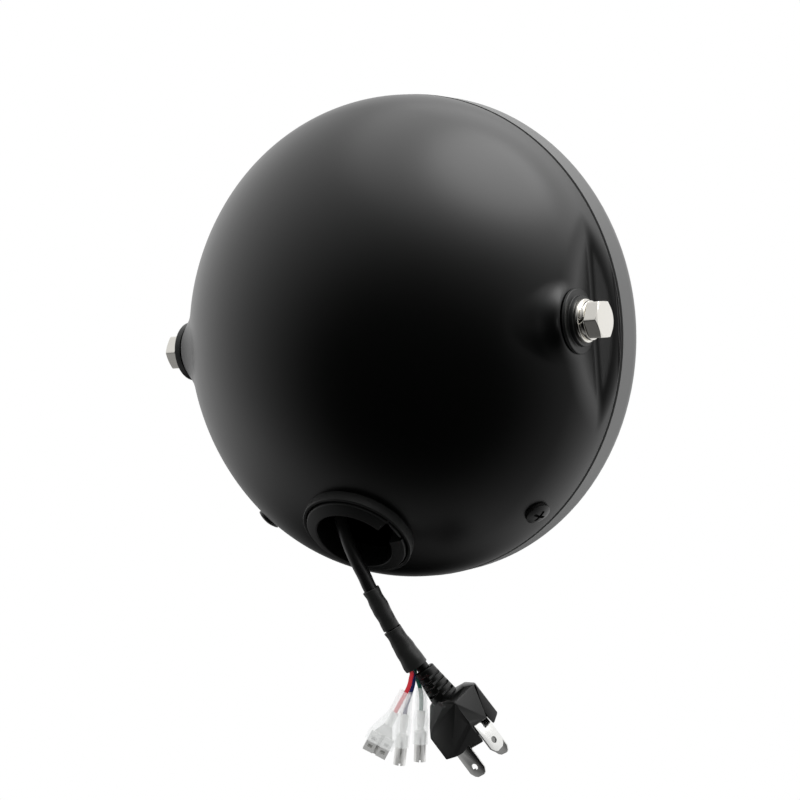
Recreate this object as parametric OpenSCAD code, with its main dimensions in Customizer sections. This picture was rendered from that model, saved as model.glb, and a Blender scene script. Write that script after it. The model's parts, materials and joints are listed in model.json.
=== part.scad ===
// Round 7 inch motorcycle headlight: a stamped bucket hung between two fork ears, with its
// rim, sealed LED unit and short lead.
// Frame: millimetres, +Z up. The origin is the middle of the side bolt axis, which runs along X.
// The light leaves towards -Y, and the back of the bucket is at +Y.

/* [Bucket] */
// Outer radius of the bucket at its mouth
bucket_r = 94; // [85:0.5:105]
// Thickness of the pressed steel
wall = 1.2; // [1:0.1:1.8]
// Distance of the mouth ahead of the bolt axis
mouth_ahead = 20.5; // [19:0.5:24]
// Radius of the rounded shoulder in the side profile
shoulder_r = 46; // [42:1:50]
// Slope at which the shoulder runs into the dome
shoulder_deg = 32; // [29:1:35]
// Distance of the widest plane ahead of the bolt axis
shoulder_ahead = 21; // [19:0.5:23]
// Length of the spigot that enters the rim
spigot_len = 5; // [3:0.5:6]

/* [Side bosses] */
// How far each flat boss face lies inside the bucket's outer radius
boss_inset = 7.7; // [6.5:0.1:8.5]
// Radius of the raised boss at its face
boss_r = 12.4; // [12:0.1:14]
// Radius of the boss where its flare is buried in the bowl
boss_foot_r = 24; // [22:0.5:24.5]
// Radius of the hollow flare that runs from the face into the bowl
boss_flare = 46; // [44:1:48]
// Slope of that flare at the face
boss_flare_deg = 22; // [21:1:24]
// Distance from the bolt axis to the front wall of the flat
flat_ahead = 12.8; // [12.5:0.1:14]
// Slope of that front wall
flat_wall_deg = 21; // [16:1:30]

/* [Cable hole] */
// Angle of the hole's axis behind straight down
hole_tilt = 45; // [42:1:48]
// Radius of the hole through the steel
hole_r = 18.4; // [17.5:0.1:19]
// Radius of the way through the grommet
grommet_bore_r = 14.8; // [14:0.1:15.5]
// Outer radius of the grommet
grommet_r = 21.4; // [21:0.1:23]
// Height of the grommet's outer ridge over its edge
grommet_ridge = 4.1; // [3.5:0.1:4.5]
// Height of the lip round the cable way over that ridge
grommet_lip = 2.6; // [2:0.1:3]
// Width of the notch in that lip, measured at the way
notch_w = 7.5; // [5:0.5:9]

/* [Rim] */
// How far the rim stands proud of the bucket
rim_proud = 0.2; // [-0.2:0.1:1]
// Gap between the rim and the bucket
seam_gap = 0.5; // [0.3:0.1:1]
// Thickness of the rim's metal
rim_t = 1.1; // [1:0.1:1.2]
// Distance from the bolt axis to the front of the rim
rim_ahead = 38.2; // [37:0.2:40]
// Radius of the rim's rounded front edge
rim_round = 8; // [7:0.5:9]
// Width of the flat lip round the opening that the lens shows through
rim_lip = 2.7; // [2:0.1:4]

/* [Bolts and pads] */
// Radius of the bolt's shank
bolt_r = 4; // [4:0.5:4]
// Width across the flats of the bolt's head
bolt_af = 13; // [13:1:14]
// Height of the bolt's head
bolt_head_h = 5.2; // [4.5:0.1:5.6]
// Length of the bolt under its head
bolt_len = 25; // [20:1:30]
// Radius of the pad's flange
pad_r = 11.9; // [11.5:0.1:12]
// Thickness of the pad's flange
pad_flange = 1.2; // [1:0.1:2]
// Radius of the pad's collar, which centres the fork ear
collar_r = 9.2; // [8.8:0.1:9.5]
// Height of that collar
collar_h = 1.6; // [1.4:0.1:3]
// Outer radius of the flat washer
washer_r = 8; // [7.5:0.1:8.4]
// Thickness of the flat washer
washer_t = 1.5; // [1.2:0.1:1.8]
// Outer radius of the spring washer
spring_r = 7.2; // [6.8:0.1:7.4]
// Thickness of the spring washer
spring_t = 1.8; // [1.4:0.1:2.2]

/* [Rim screws] */
// Angle of the rim screws below level
screw_below = 48.6; // [46:0.1:53]
// Slope of the bowl where the screws sit
screw_slope = 17.8; // [15:0.1:19]
// Radius of the screw's shank
screw_r = 2.4; // [2:0.1:2.5]
// Radius of the screw's head
screw_head_r = 4.8; // [4.5:0.1:5.3]
// Height of the screw's head
screw_head_h = 2.6; // [2.2:0.1:3.2]
// Length of the screw under its head
screw_len = 12; // [10:0.5:13]
// Width of the tab that each screw holds
tab_w = 15; // [13:0.5:18]
// Thickness of that tab
tab_t = 1.5; // [1.2:0.1:1.8]

/* [LED unit] */
// Gap between the unit's flange and the inside of the rim
unit_gap = 5.6; // [5.4:0.1:6]
// Width of the unit's flange
unit_flange_w = 7.5; // [6.5:0.5:8]
// Thickness of the lens
lens_t = 2.5; // [2:0.1:3]
// How far the middle of the lens bulges forward
lens_bulge = 4.5; // [3:0.5:6]
// Depth of the housing behind its flange
housing_depth = 30; // [27:0.5:31]
// Gap between the inner ends of the bolts and the housing's back
bolt_gap = 9.4; // [7.4:0.2:13.4]
// Wall of the cast housing
housing_wall = 3; // [2.5:0.1:3.5]
// Height of the cooling fins
fin_h = 15; // [12:0.5:17]
// Thickness of a fin
fin_t = 2.2; // [1.8:0.1:2.6]
// Spacing of the fins
fin_pitch = 9; // [8:0.5:10]
// Radius of the driver cover
cover_r = 26; // [24:0.5:27]
// Depth of the driver cover
cover_depth = 20; // [18.5:0.5:21]

/* [Lead] */
// Diameter of the jacketed lead
lead_d = 5.2; // [4.8:0.1:5.6]
// Outer radius of the upper heat shrink sleeve
sleeve_r = 3.2; // [3:0.1:3.6]
// Outer radius of the lower heat shrink sleeve
lower_sleeve_r = 4.5; // [4.4:0.1:4.8]
// Diameter of each thin wire
wire_d = 1.6; // [1.3:0.1:1.7]
// Turn of the plug about its own axis
plug_roll = 135; // [125:1:145]
// Width of a plug blade
blade_w = 7.8; // [7:0.1:8]
// Thickness of a plug blade
blade_t = 0.8; // [0.8:0.1:1]
// Length of a plug blade outside the plug
blade_len = 13; // [11:0.5:14]

/* [Hidden] */
$fn = 96;
e = 0.01;

// Bowl: a torus shoulder that runs without a kink into a ball-shaped dome
shoulder_c = bucket_r - shoulder_r;
dome_r = shoulder_r + shoulder_c / cos(shoulder_deg);
dome_y = -shoulder_ahead - shoulder_c * tan(shoulder_deg);
far = 3 * bucket_r;

// Side hardware, counted outwards from the boss face
boss_x = bucket_r - boss_inset;
flare_r = boss_r + boss_flare * cos(boss_flare_deg);
flare_x = boss_x + boss_flare * sin(boss_flare_deg);
flange_x = boss_x + pad_flange;
collar_x = flange_x + collar_h;
washer_x = collar_x + washer_t;
head_x = washer_x + spring_t;
bolt_clear = 0.2;
nut_flange_r = 10;
nut_flange_t = 1.5;
nut_af = 14;
nut_h = 6.5;

// Rim
rim_r = bucket_r + rim_proud;
skirt_in_r = rim_r - rim_t;
spigot_out_r = bucket_r - wall;
spigot_in_r = spigot_out_r - wall;
skirt_back_y = -mouth_ahead - seam_gap;
rim_edge_c = rim_r - rim_round;
rim_edge_y = -rim_ahead + rim_round;
rim_open_r = rim_edge_c - rim_lip;

// Unit, counted back from the rim's front plate
gasket_t = 1.5;
gasket_y = -rim_ahead + rim_t;
lens_y = gasket_y + gasket_t;
flange_t = 3;
flange_y = lens_y + lens_t;
ring_y = flange_y + flange_t;
ring_t = 1.2;
unit_r = skirt_in_r - unit_gap;
ring_in_r = unit_r - 2;
ring_out_r = skirt_in_r - 0.3;
ring_screw_r = skirt_in_r - unit_gap / 2 - 0.1;
ring_screw_shank = 1.7;
ring_screw_head = 2.7;
ring_screw_head_h = 1.8;
ring_screw_len = 3.2;
lug_w = 10;
lug_in_r = unit_r + 0.4;
lens_face_r = rim_open_r - 1;
housing_back_y = ring_y + housing_depth;
housing_mouth_r = unit_r - unit_flange_w;
housing_back_r = head_x - bolt_len - bolt_gap;
cover_boss_h = 3;
cover_y = housing_back_y + cover_depth;
cover_wall = 2;
fin_count = 11;
fin_keep_out = cover_r + 3;
ring_screw_turns = [30, 150, 270];
notch_turn = 190;
cover_screw_turns = [45, 135, 225, 315];
cover_screw_r = cover_r - 4;
cover_screw_shank = 1.5;
cover_screw_head = 2.7;
cover_screw_head_h = 1.7;
cover_screw_len = 7;
cover_land = 8;

// Optics
bowl_depth = 20;
board_size = 15;
board_t = 1.6;
halo_tube_r = 2.5;
bezel_r = housing_mouth_r - 3.2;
halo_r = bezel_r - halo_tube_r - 2.3;
lamp_gap = 10;
bowl_r = (halo_r - halo_tube_r - 2.5 - lamp_gap / 2) / 2;
lamp_z = bowl_r + lamp_gap / 2;

// Gland and lead
gland_x = 12;
gland_y = ring_y + housing_depth + 12;
gland_top = 27;
gland_low = 40;
gland_nut_af = 14;
gland_room = 14;
lead_r = lead_d / 2;
lead_sides = 10;
wire_sides = 8;
wire_r = wire_d / 2;
snug = 0.05;

// The lead and all that hangs from it lie in one upright plane behind the hole
hang_at = [0, 24, -78];
hang_turn = 213;
upper_from = [4.6, -15.8];
upper_turn = -65.5;
upper_len = 15.6;
lower_from = [11.75, -31.33];
lower_turn = -61;
lower_len = 16.4;
lead_in_sleeve = 6;
wire_in_sleeve = 10.2;
plug_from = [29.4, -57.6];
plug_turn = -57;
relief_len = 13;
neck_r = 2.4;
neck_len = 7;
red_hole = [-1.25, -2.65];
blue_hole = [0.8, -2.35];
green_hole = [2.45, -1.35];

// Route of the lead, from the gland to the lower sleeve
lead_path = [
  [gland_x, gland_y, -gland_low], [12, 12.1, -44], [11.9, 13, -48.5], [11.6, 14.6, -53], [10.9, 16.7, -57.5],
  [9.8, 18.8, -62], [8.3, 20.4, -66.5], [6.5, 21.5, -71], [4.5, 22.1, -75.5],
  [2.4, 22.4, -80], [0.2, 22.4, -84.5], [-2, 22.1, -89]
];

function on_hang(p) =
  [ hang_at[0] + p[0] * cos(hang_turn) + p[2] * sin(hang_turn),
    hang_at[1] + p[0] * sin(hang_turn) - p[2] * cos(hang_turn),
    hang_at[2] + p[1] ];
function ahead(p, turn, d) = [p[0] + d * cos(turn), p[1] + d * sin(turn), len(p) > 2 ? p[2] : 0];
function unit(v) = v / norm(v);

lead_tail = [
  on_hang(ahead(upper_from, upper_turn, -1)), on_hang(ahead(upper_from, upper_turn, upper_len * 0.5)),
  on_hang(ahead(upper_from, upper_turn, upper_len)), on_hang(ahead(lower_from, lower_turn, 0)),
  on_hang(ahead(lower_from, lower_turn, lead_in_sleeve))
];

// Where a wire leaves its hole in the lower sleeve: back is the distance before the sleeve's end
function wire_mouth(hole, back) =
  let (p = ahead(lower_from, lower_turn, lower_len - back))
  on_hang([p[0] - hole[1] * sin(lower_turn), p[1] + hole[1] * cos(lower_turn), -hole[0]]);

// Terminals: start of the crimp in the hanging plane, and direction
red_at = [10.6, -61.4, 2.6];
red_turn = -121.5;
blue_at = [14.2, -63.2, -2.6];
blue_turn = -100.5;
green_at = [20.3, -62.6, -4.4];
green_turn = -95.5;
crimp_len = 5;
crimp_r = 1.5;
wire_in_crimp = 4;

red_path = concat(
  [wire_mouth(red_hole, wire_in_sleeve), wire_mouth(red_hole, 3), wire_mouth(red_hole, -0.5)],
  [for (p = [[17.2, -49.6, 1.4], [16.5, -51.9, 1.7], [15.3, -54.2, 2], [13.8, -56.5, 2.3]]) on_hang(p)],
  [on_hang(ahead(red_at, red_turn, -1.6)), on_hang(ahead(red_at, red_turn, wire_in_crimp))]);
blue_path = concat(
  [wire_mouth(blue_hole, wire_in_sleeve), wire_mouth(blue_hole, 3), wire_mouth(blue_hole, -0.5)],
  [for (p = [[18.3, -49.4, -1.1], [18, -52, -1.5], [17.1, -54.8, -2], [15.9, -57.6, -2.4]]) on_hang(p)],
  [on_hang(ahead(blue_at, blue_turn, -2)), on_hang(ahead(blue_at, blue_turn, wire_in_crimp))]);
green_path = concat(
  [wire_mouth(green_hole, wire_in_sleeve), wire_mouth(green_hole, 3), wire_mouth(green_hole, -0.5)],
  [for (p = [[19.1, -49, -3], [19.9, -51.6, -3.6], [20.5, -54.4, -4.1], [20.7, -57.4, -4.4]]) on_hang(p)],
  [on_hang(ahead(green_at, green_turn, -1.6)), on_hang(ahead(green_at, green_turn, wire_in_crimp))]);

// Points of an arc
function arc(cx, cy, r, from, to, n) =
  [for (i = [0:n]) [cx + r * cos(from + (to - from) * i / n), cy + r * sin(from + (to - from) * i / n)]];

// A round tube along a path: each ring faces half way between its two neighbours
function side_of(d) = unit(cross(d, abs(d[0]) < 0.9 ? [1, 0, 0] : [0, 1, 0]));
function way(path, i) =
  i == 0 ? unit(path[1] - path[0])
  : i == len(path) - 1 ? unit(path[i] - path[i - 1])
  : unit(unit(path[i] - path[i - 1]) + unit(path[i + 1] - path[i]));
module tube(path, r, sides) {
  rings = [for (i = [0:len(path) - 1]) let (d = way(path, i), u = side_of(d), v = cross(d, u))
    [for (k = [0:sides - 1]) path[i] + r * (cos(360 * k / sides) * u + sin(360 * k / sides) * v)]];
  points = [for (ring = rings) each ring];
  last = (len(path) - 1) * sides;
  polyhedron(points, concat(
    [[for (k = [0:sides - 1]) k]],
    [for (i = [0:len(path) - 2], k = [0:sides - 1]) let (a = i * sides + k, b = i * sides + (k + 1) % sides)
      [a, a + sides, b + sides, b]],
    [[for (k = [sides - 1:-1:0]) last + k]]));
}

// Turns a shape that was drawn about +Z so that it lies about +Y
module about_y() { rotate([-90, 0, 0]) children(); }

// Outwards along the bolt axis: side is 1 on the left and -1 on the right
module at_side(side) { rotate([0, 90 * side, 0]) children(); }

// On the hole's axis, with the ball centre of the dome at height zero
module at_hole() { translate([0, dome_y, 0]) rotate([180 + hole_tilt, 0, 0]) children(); }

// On a rim screw's axis, with the shoulder's own centre at height zero
module at_rim_screw(side) {
  rotate([0, side * (90 + screw_below), 0])
    translate([0, -shoulder_ahead, shoulder_c])
      rotate([-screw_slope, 0, 0]) children();
}

// In the hanging plane, with +Z along the given direction
module hang_along(p, turn) {
  translate(hang_at) rotate([0, 0, hang_turn]) rotate([90, 0, 0])
    translate([p[0], p[1], len(p) > 2 ? p[2] : 0]) rotate([0, 90, turn]) children();
}

module ring(r_out, r_in, h) {
  difference() {
    cylinder(r = r_out, h = h);
    translate([0, 0, -1]) cylinder(r = r_in, h = h + 2);
  }
}

// Bowl moved inwards by d: a ball-shaped dome on a torus shoulder on a straight wall, cut at a
// plane that lies ahead of the axis
module bowl(d, front) {
  join = (shoulder_r - d) * sin(shoulder_deg);
  about_y() {
    intersection() {
      translate([0, 0, dome_y]) sphere(dome_r - d);
      translate([0, 0, join - shoulder_ahead]) cylinder(r = bucket_r, h = bucket_r);
    }
    translate([0, 0, -shoulder_ahead]) rotate_extrude() {
      square([shoulder_c + e, join]);
      intersection() {
        translate([shoulder_c, 0]) circle(shoulder_r - d);
        translate([shoulder_c, 0]) square([bucket_r, join]);
      }
    }
    translate([0, 0, -front]) cylinder(r = bucket_r - d, h = front - shoulder_ahead);
  }
}

// What the press takes away in front of each boss face, moved inwards by d
module flat_cut(side, d) {
  corner_y = -flat_ahead - d * (1 - sin(flat_wall_deg)) / cos(flat_wall_deg);
  reach = 20;
  corners = [[boss_x - d, bucket_r], [boss_x - d, corner_y],
    [boss_x - d + reach * cos(flat_wall_deg), corner_y - reach * sin(flat_wall_deg)],
    [boss_x + 2 * reach, corner_y - reach * sin(flat_wall_deg)], [boss_x + 2 * reach, bucket_r]];
  translate([0, 0, -bucket_r]) linear_extrude(2 * bucket_r)
    polygon([for (p = corners) [side * p[0], p[1]]]);
}

// Boss moved inwards by d: a flat face on a hollow flare that is buried in the bowl
module boss(side, d) {
  at_side(side) rotate_extrude() difference() {
    translate([0, boss_x - d - boss_foot_r]) square(boss_foot_r);
    translate([flare_r, flare_x]) circle(boss_flare + d);
  }
}
module pressed_form(d, front) {
  difference() {
    union() {
      bowl(d, 2 * shoulder_ahead);
      for (side = [-1, 1]) boss(side, d);
    }
    for (side = [-1, 1]) flat_cut(side, d);
    translate([-far / 2, -front - far, -far / 2]) cube([far, far, far]);
  }
}
module bucket() {
  color("#17181a") difference() {
    union() {
      difference() {
        pressed_form(0, mouth_ahead);
        pressed_form(wall, mouth_ahead + 1);
      }
      about_y() rotate_extrude()
        polygon([[spigot_in_r, -mouth_ahead - spigot_len], [spigot_out_r, -mouth_ahead - spigot_len],
          [spigot_out_r, -mouth_ahead], [spigot_out_r + wall / 2, -mouth_ahead],
          [spigot_out_r + wall / 2, -mouth_ahead + 1], [spigot_in_r, -mouth_ahead + 1]]);
    }
    at_hole() cylinder(r = hole_r, h = far / 2);
    for (side = [-1, 1]) {
      at_side(side) translate([0, 0, boss_x - 3 * wall]) cylinder(r = bolt_r + bolt_clear, h = far / 4);
      at_rim_screw(side) {
        translate([0, 0, shoulder_r - 3 * wall]) cylinder(r = screw_r + bolt_clear, h = 6 * wall);
        translate([0, 0, shoulder_r - wall / 4]) cylinder(r = screw_head_r + 0.6, h = 6 * wall);
      }
    }
  }
}

// Rim: a skirt, a rounded front edge, a flat lip, and three lugs inside for the retaining ring
module rim() {
  color("#2a2b2d") difference() {
    union() {
      about_y() {
        translate([0, 0, rim_edge_y]) ring(rim_r, skirt_in_r, skirt_back_y - rim_edge_y);
        translate([0, 0, rim_edge_y]) rotate_extrude() intersection() {
          translate([rim_edge_c, 0]) difference() {
            circle(rim_round);
            circle(rim_round - rim_t);
          }
          translate([rim_edge_c, -rim_round]) square(rim_round);
        }
        translate([0, 0, -rim_ahead]) ring(rim_edge_c, rim_open_r, rim_t);
      }
      intersection() {
        about_y() rotate_extrude() intersection() {
          translate([rim_edge_c, rim_edge_y]) circle(rim_round - rim_t / 2);
          translate([lug_in_r, lens_y + 0.5]) square([rim_round, ring_y - lens_y - 0.5]);
        }
        for (turn = ring_screw_turns)
          rotate([0, turn, 0]) translate([0, -rim_ahead, -lug_w / 2]) cube([far, rim_ahead, lug_w]);
      }
    }
    for (turn = ring_screw_turns)
      rotate([0, turn, 0]) translate([ring_screw_r, ring_y, 0]) rotate([90, 0, 0])
        translate([0, 0, -1]) cylinder(r = ring_screw_shank + snug, h = ring_screw_len + 1);
  }
}
module rim_gasket() {
  color("#111111") about_y() translate([0, 0, gasket_y]) ring(rim_edge_c - 0.2, rim_open_r + 0.3, gasket_t);
}

// Lens: a flange and a shallow ball-shaped face of even thickness
lens_ball = (lens_face_r * lens_face_r + lens_bulge * lens_bulge) / (2 * lens_bulge);
module lens() {
  color("#e8f0f4", 0.4) about_y() {
    translate([0, 0, lens_y]) ring(unit_r, lens_face_r - 4, lens_t);
    rotate_extrude() intersection() {
      difference() {
        translate([0, lens_y - lens_bulge + lens_ball]) circle(lens_ball, $fn = 720);
        translate([0, lens_y - lens_bulge + lens_ball + lens_t]) circle(lens_ball, $fn = 720);
      }
      translate([0, lens_y - 2 * lens_bulge]) square([lens_face_r, 2 * lens_bulge + lens_t]);
    }
  }
}

// Light guide that glows round the edge of the unit
module halo_ring() {
  color("#f4f4f0") about_y() translate([0, 0, flange_y + halo_tube_r + 0.2])
    rotate_extrude() translate([halo_r, 0]) circle(halo_tube_r, $fn = 32);
}

// Black plate round the two reflectors, with a trough for the light guide
module inner_bezel() {
  color("#101010") difference() {
    about_y() translate([0, 0, flange_y]) {
      cylinder(r = housing_mouth_r - 0.2, h = 2);
      cylinder(r = bezel_r, h = 2 * halo_tube_r + 1.8);
    }
    about_y() translate([0, 0, flange_y + halo_tube_r + 0.2]) rotate_extrude() {
      translate([halo_r, 0]) circle(halo_tube_r + snug, $fn = 32);
      translate([halo_r - halo_tube_r - snug, -halo_tube_r - 1]) square([2 * (halo_tube_r + snug), halo_tube_r + 1]);
    }
    for (z = [-lamp_z, lamp_z])
      translate([0, 0, z]) about_y() translate([0, 0, flange_y - 1]) cylinder(r = bowl_r + 0.3, h = far / 4);
  }
}

// Reflector bowl: mouth at the front, with a square seat for its board
module reflector(z) {
  mouth_y = flange_y + 0.4;
  color("#c9cdd2") translate([0, 0, z]) about_y() difference() {
    translate([0, 0, mouth_y]) union() {
      cylinder(r1 = bowl_r, r2 = bowl_r - 6, h = bowl_depth * 0.6);
      translate([0, 0, bowl_depth * 0.6]) cylinder(r1 = bowl_r - 6, r2 = board_size * 0.75, h = bowl_depth * 0.4);
    }
    translate([0, 0, mouth_y - e]) union() {
      cylinder(r1 = bowl_r - 1.6, r2 = bowl_r - 7.6, h = bowl_depth * 0.6);
      translate([0, 0, bowl_depth * 0.6 - e]) cylinder(r1 = bowl_r - 7.6, r2 = 5, h = bowl_depth * 0.4 + 0.1);
    }
  }
}
module low_reflector() { reflector(-lamp_z); }
module high_reflector() { reflector(lamp_z); }

// Circuit board with its light source, seated on the housing's pedestal
module led_board(z) {
  board_y = flange_y + 0.4 + bowl_depth;
  translate([0, 0, z]) {
    color("#e9e9e2") translate([-board_size / 2, board_y, -board_size / 2]) cube([board_size, board_t, board_size]);
    color("#e8d84a") translate([-2, board_y - 0.8, -2]) cube([4, 0.8 + e, 4]);
  }
}
module low_led_board() { led_board(-lamp_z); }
module high_led_board() { led_board(lamp_z); }

// Cast housing: flange, cup, two pedestals behind the boards, and cooling fins on its back
module housing_cup(d, front) {
  side_r = housing_mouth_r + housing_wall - d;
  polygon([[0, front], [side_r, front], [side_r, ring_y], [side_r - 5, ring_y + 8],
    [housing_back_r - d, housing_back_y - d], [0, housing_back_y - d]]);
}
module unit_housing() {
  pedestal_y = flange_y + 0.4 + bowl_depth + board_t;
  color("#8d9196") {
    difference() {
      union() {
        about_y() rotate_extrude() housing_cup(0, flange_y);
        about_y() translate([0, 0, flange_y]) cylinder(r = unit_r, h = flange_t);
      }
      about_y() rotate_extrude() housing_cup(housing_wall, flange_y - 1);
    }
    for (z = [-lamp_z, lamp_z])
      translate([-board_size / 2, pedestal_y, z - board_size / 2])
        cube([board_size, housing_back_y - housing_wall - pedestal_y + 1, board_size]);
    intersection() {
      about_y() translate([0, 0, housing_back_y - 1]) cylinder(r = housing_back_r - 2, h = fin_h + 1);
      for (i = [0:fin_count - 1]) {
        x = (i - (fin_count - 1) / 2) * fin_pitch;
        gap = abs(x) < fin_keep_out ? sqrt(fin_keep_out * fin_keep_out - x * x) : 0;
        low = gap > 0 ? gap : -housing_back_r;
        translate([x - fin_t / 2, housing_back_y - 1, low]) cube([fin_t, fin_h + 1, housing_back_r - low]);
        if (gap > 0 && abs(x - gland_x) >= gland_room)
          translate([x - fin_t / 2, housing_back_y - 1, -housing_back_r])
            cube([fin_t, fin_h + 1, housing_back_r - gap]);
      }
    }
  }
}

// Ring that clamps the unit to the rim's three lugs, and its screws
module retaining_ring() {
  color("#b9bcc0") difference() {
    about_y() translate([0, 0, ring_y]) ring(ring_out_r, ring_in_r, ring_t);
    for (turn = ring_screw_turns)
      rotate([0, turn, 0]) translate([ring_screw_r, ring_y + far / 8, 0]) rotate([90, 0, 0])
        cylinder(r = ring_screw_shank + snug, h = far / 4);
  }
}
module pan_screw(shank, head, head_h, length) {
  translate([0, 0, -length]) cylinder(r = shank, h = length + e);
  difference() {
    intersection() {
      cylinder(r = head, h = head_h);
      translate([0, 0, head_h - 2.2 * head]) sphere(2.2 * head);
    }
    for (turn = [0, 90])
      rotate([0, 0, turn]) translate([-head * 0.55, -head * 0.12, head_h * 0.45]) cube([head * 1.1, head * 0.24, head_h]);
  }
}
module retaining_screws() {
  color("#d2d4d6") for (turn = ring_screw_turns)
    rotate([0, turn, 0]) translate([ring_screw_r, ring_y + ring_t, 0]) rotate([-90, 0, 0])
      pan_screw(ring_screw_shank, ring_screw_head, ring_screw_head_h, ring_screw_len);
}

// Cover over the driver board, with a flat boss for the gland
module driver_cover() {
  color("#26282a") difference() {
    union() {
      about_y() translate([0, 0, housing_back_y]) cylinder(r = cover_r, h = cover_depth);
      translate([gland_x - 9, housing_back_y, -gland_top]) cube([18, cover_depth, gland_top]);
    }
    about_y() translate([0, 0, housing_back_y - 1]) cylinder(r = cover_r - cover_land, h = cover_depth - cover_wall);
    for (turn = cover_screw_turns)
      rotate([0, turn, 0]) translate([cover_screw_r, cover_y - cover_screw_len - 1, 0]) rotate([-90, 0, 0])
        cylinder(r = cover_screw_shank + snug, h = cover_screw_len + 2);
  }
}
module cover_screws() {
  color("#c8cacc") for (turn = cover_screw_turns)
    rotate([0, turn, 0]) translate([cover_screw_r, cover_y, 0]) rotate([-90, 0, 0])
      pan_screw(cover_screw_shank, cover_screw_head, cover_screw_head_h, cover_screw_len);
}

// Gland: a hexagon at the cover, then a round nut that closes on the lead
module cable_gland() {
  color("#1c1d1f") translate([gland_x, gland_y, -gland_low]) {
    translate([0, 0, gland_low - gland_top - 5]) cylinder(d = gland_nut_af / cos(30), h = 5, $fn = 6);
    translate([0, 0, 3]) cylinder(r = 6, h = gland_low - gland_top - 5);
    cylinder(r1 = 4.6, r2 = 6, h = 3 + e);
  }
}

// Tabs that follow the inside of the bowl from the rim to the rim screws
tab_out = 2 * wall + 0.3;
tab_foot_y = ring_y + ring_t + 0.6;
tab_foot_len = 2.4;
module tab_strip(side, d_out, d_in, from_y, to_y, w) {
  intersection() {
    difference() {
      bowl(d_out, 2 * shoulder_ahead);
      bowl(d_in, 2 * shoulder_ahead + 1);
    }
    rotate([0, side * (90 + screw_below), 0]) translate([-w / 2, from_y, 0]) cube([w, to_y - from_y, bucket_r + 5]);
  }
}
screw_y = -shoulder_ahead + shoulder_r * sin(screw_slope);
tab_past_screw = 7;
tab_end_y = screw_y + tab_past_screw;
module screw_way(side, clear) {
  at_rim_screw(side) translate([0, 0, shoulder_r - screw_len - wall])
    cylinder(r = screw_r + clear, h = screw_len + 2 * wall);
}
module rim_tabs() {
  color("#a8abae") for (side = [-1, 1]) difference() {
    union() {
      tab_strip(side, tab_out, tab_out + tab_t, tab_foot_y + 0.4, tab_end_y, tab_w);
      intersection() {
        about_y() translate([0, 0, tab_foot_y]) ring(skirt_in_r, bucket_r - tab_out - 0.5, tab_foot_len);
        rotate([0, side * (90 + screw_below), 0]) translate([-tab_w / 2, -far / 4, 0]) cube([tab_w, far / 4, far]);
      }
    }
    screw_way(side, 0.6);
  }
}

// Spring clips that hug the tab's end and carry the rim screws' nuts
clip_t = 0.8;
clip_w = 12;
clip_before_screw = 6;
clip_nut_r = 4;
clip_nut_h = 4;
module clip_nuts() {
  from_y = screw_y - clip_before_screw;
  to_y = tab_end_y + clip_t + 0.2;
  under = tab_out + tab_t;
  color("#b7b9bb") for (side = [-1, 1]) difference() {
    union() {
      tab_strip(side, wall + snug, tab_out, from_y, to_y, clip_w);
      tab_strip(side, under, under + clip_t, from_y, to_y, clip_w);
      tab_strip(side, wall + snug, under + clip_t, to_y - clip_t, to_y, clip_w);
      at_rim_screw(side) translate([0, 0, shoulder_r - under - clip_t - clip_nut_h])
        cylinder(r = clip_nut_r, h = clip_nut_h + clip_t / 2);
    }
    screw_way(side, snug);
  }
}
module rim_screw(side) {
  color("#0d0d0e") at_rim_screw(side) translate([0, 0, shoulder_r - wall / 4])
    pan_screw(screw_r, screw_head_r, screw_head_h, screw_len);
}
module left_rim_screw() { rim_screw(1); }
module right_rim_screw() { rim_screw(-1); }

// Pad: a thin flange against the boss and a collar that centres the fork ear
module pad(side) {
  color("#141516") at_side(side) difference() {
    union() {
      translate([0, 0, boss_x]) cylinder(r = pad_r, h = pad_flange);
      translate([0, 0, boss_x]) cylinder(r = collar_r, h = pad_flange + collar_h);
    }
    translate([0, 0, boss_x - 1]) cylinder(r = bolt_r + bolt_clear, h = pad_flange + collar_h + 2);
  }
}
module left_pad() { pad(1); }
module right_pad() { pad(-1); }
module flat_washer(side) {
  color("#cfcfc9") at_side(side) translate([0, 0, collar_x]) ring(washer_r, bolt_r + bolt_clear, washer_t);
}
module left_flat_washer() { flat_washer(1); }
module right_flat_washer() { flat_washer(-1); }

// Spring washer, split by a slanted cut
module spring_washer(side) {
  color("#bdbdb8") at_side(side) translate([0, 0, washer_x]) difference() {
    ring(spring_r, bolt_r + bolt_clear, spring_t);
    translate([0, spring_r * 0.75, spring_t / 2]) rotate([0, 35, 0]) cube([1, spring_r, 4 * spring_t], center = true);
  }
}
module left_spring_washer() { spring_washer(1); }
module right_spring_washer() { spring_washer(-1); }

// Bolt: hexagon with its flats above and below, chamfered at the end face
module bolt(side) {
  corner_r = bolt_af / 2 / cos(30);
  color("#d9d8d2") at_side(side) {
    translate([0, 0, head_x - bolt_len]) cylinder(r = bolt_r, h = bolt_len + e);
    translate([0, 0, head_x]) intersection() {
      rotate([0, 0, 90]) cylinder(r = corner_r, h = bolt_head_h, $fn = 6);
      cylinder(r1 = corner_r + bolt_head_h * 1.6, r2 = bolt_af / 2 - 0.2, h = bolt_head_h);
    }
  }
}
module left_bolt() { bolt(1); }
module right_bolt() { bolt(-1); }

// Nuts welded inside the bosses
module inner_nuts() {
  color("#9fa2a5") for (side = [-1, 1]) at_side(side) translate([0, 0, boss_x - wall - nut_flange_t]) difference() {
    union() {
      cylinder(r = nut_flange_r, h = nut_flange_t);
      translate([0, 0, -nut_h]) cylinder(d = nut_af / cos(30), h = nut_h + e, $fn = 6);
    }
    translate([0, 0, -nut_h - 1]) cylinder(r = bolt_r + snug, h = nut_h + nut_flange_t + 2);
  }
}

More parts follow.
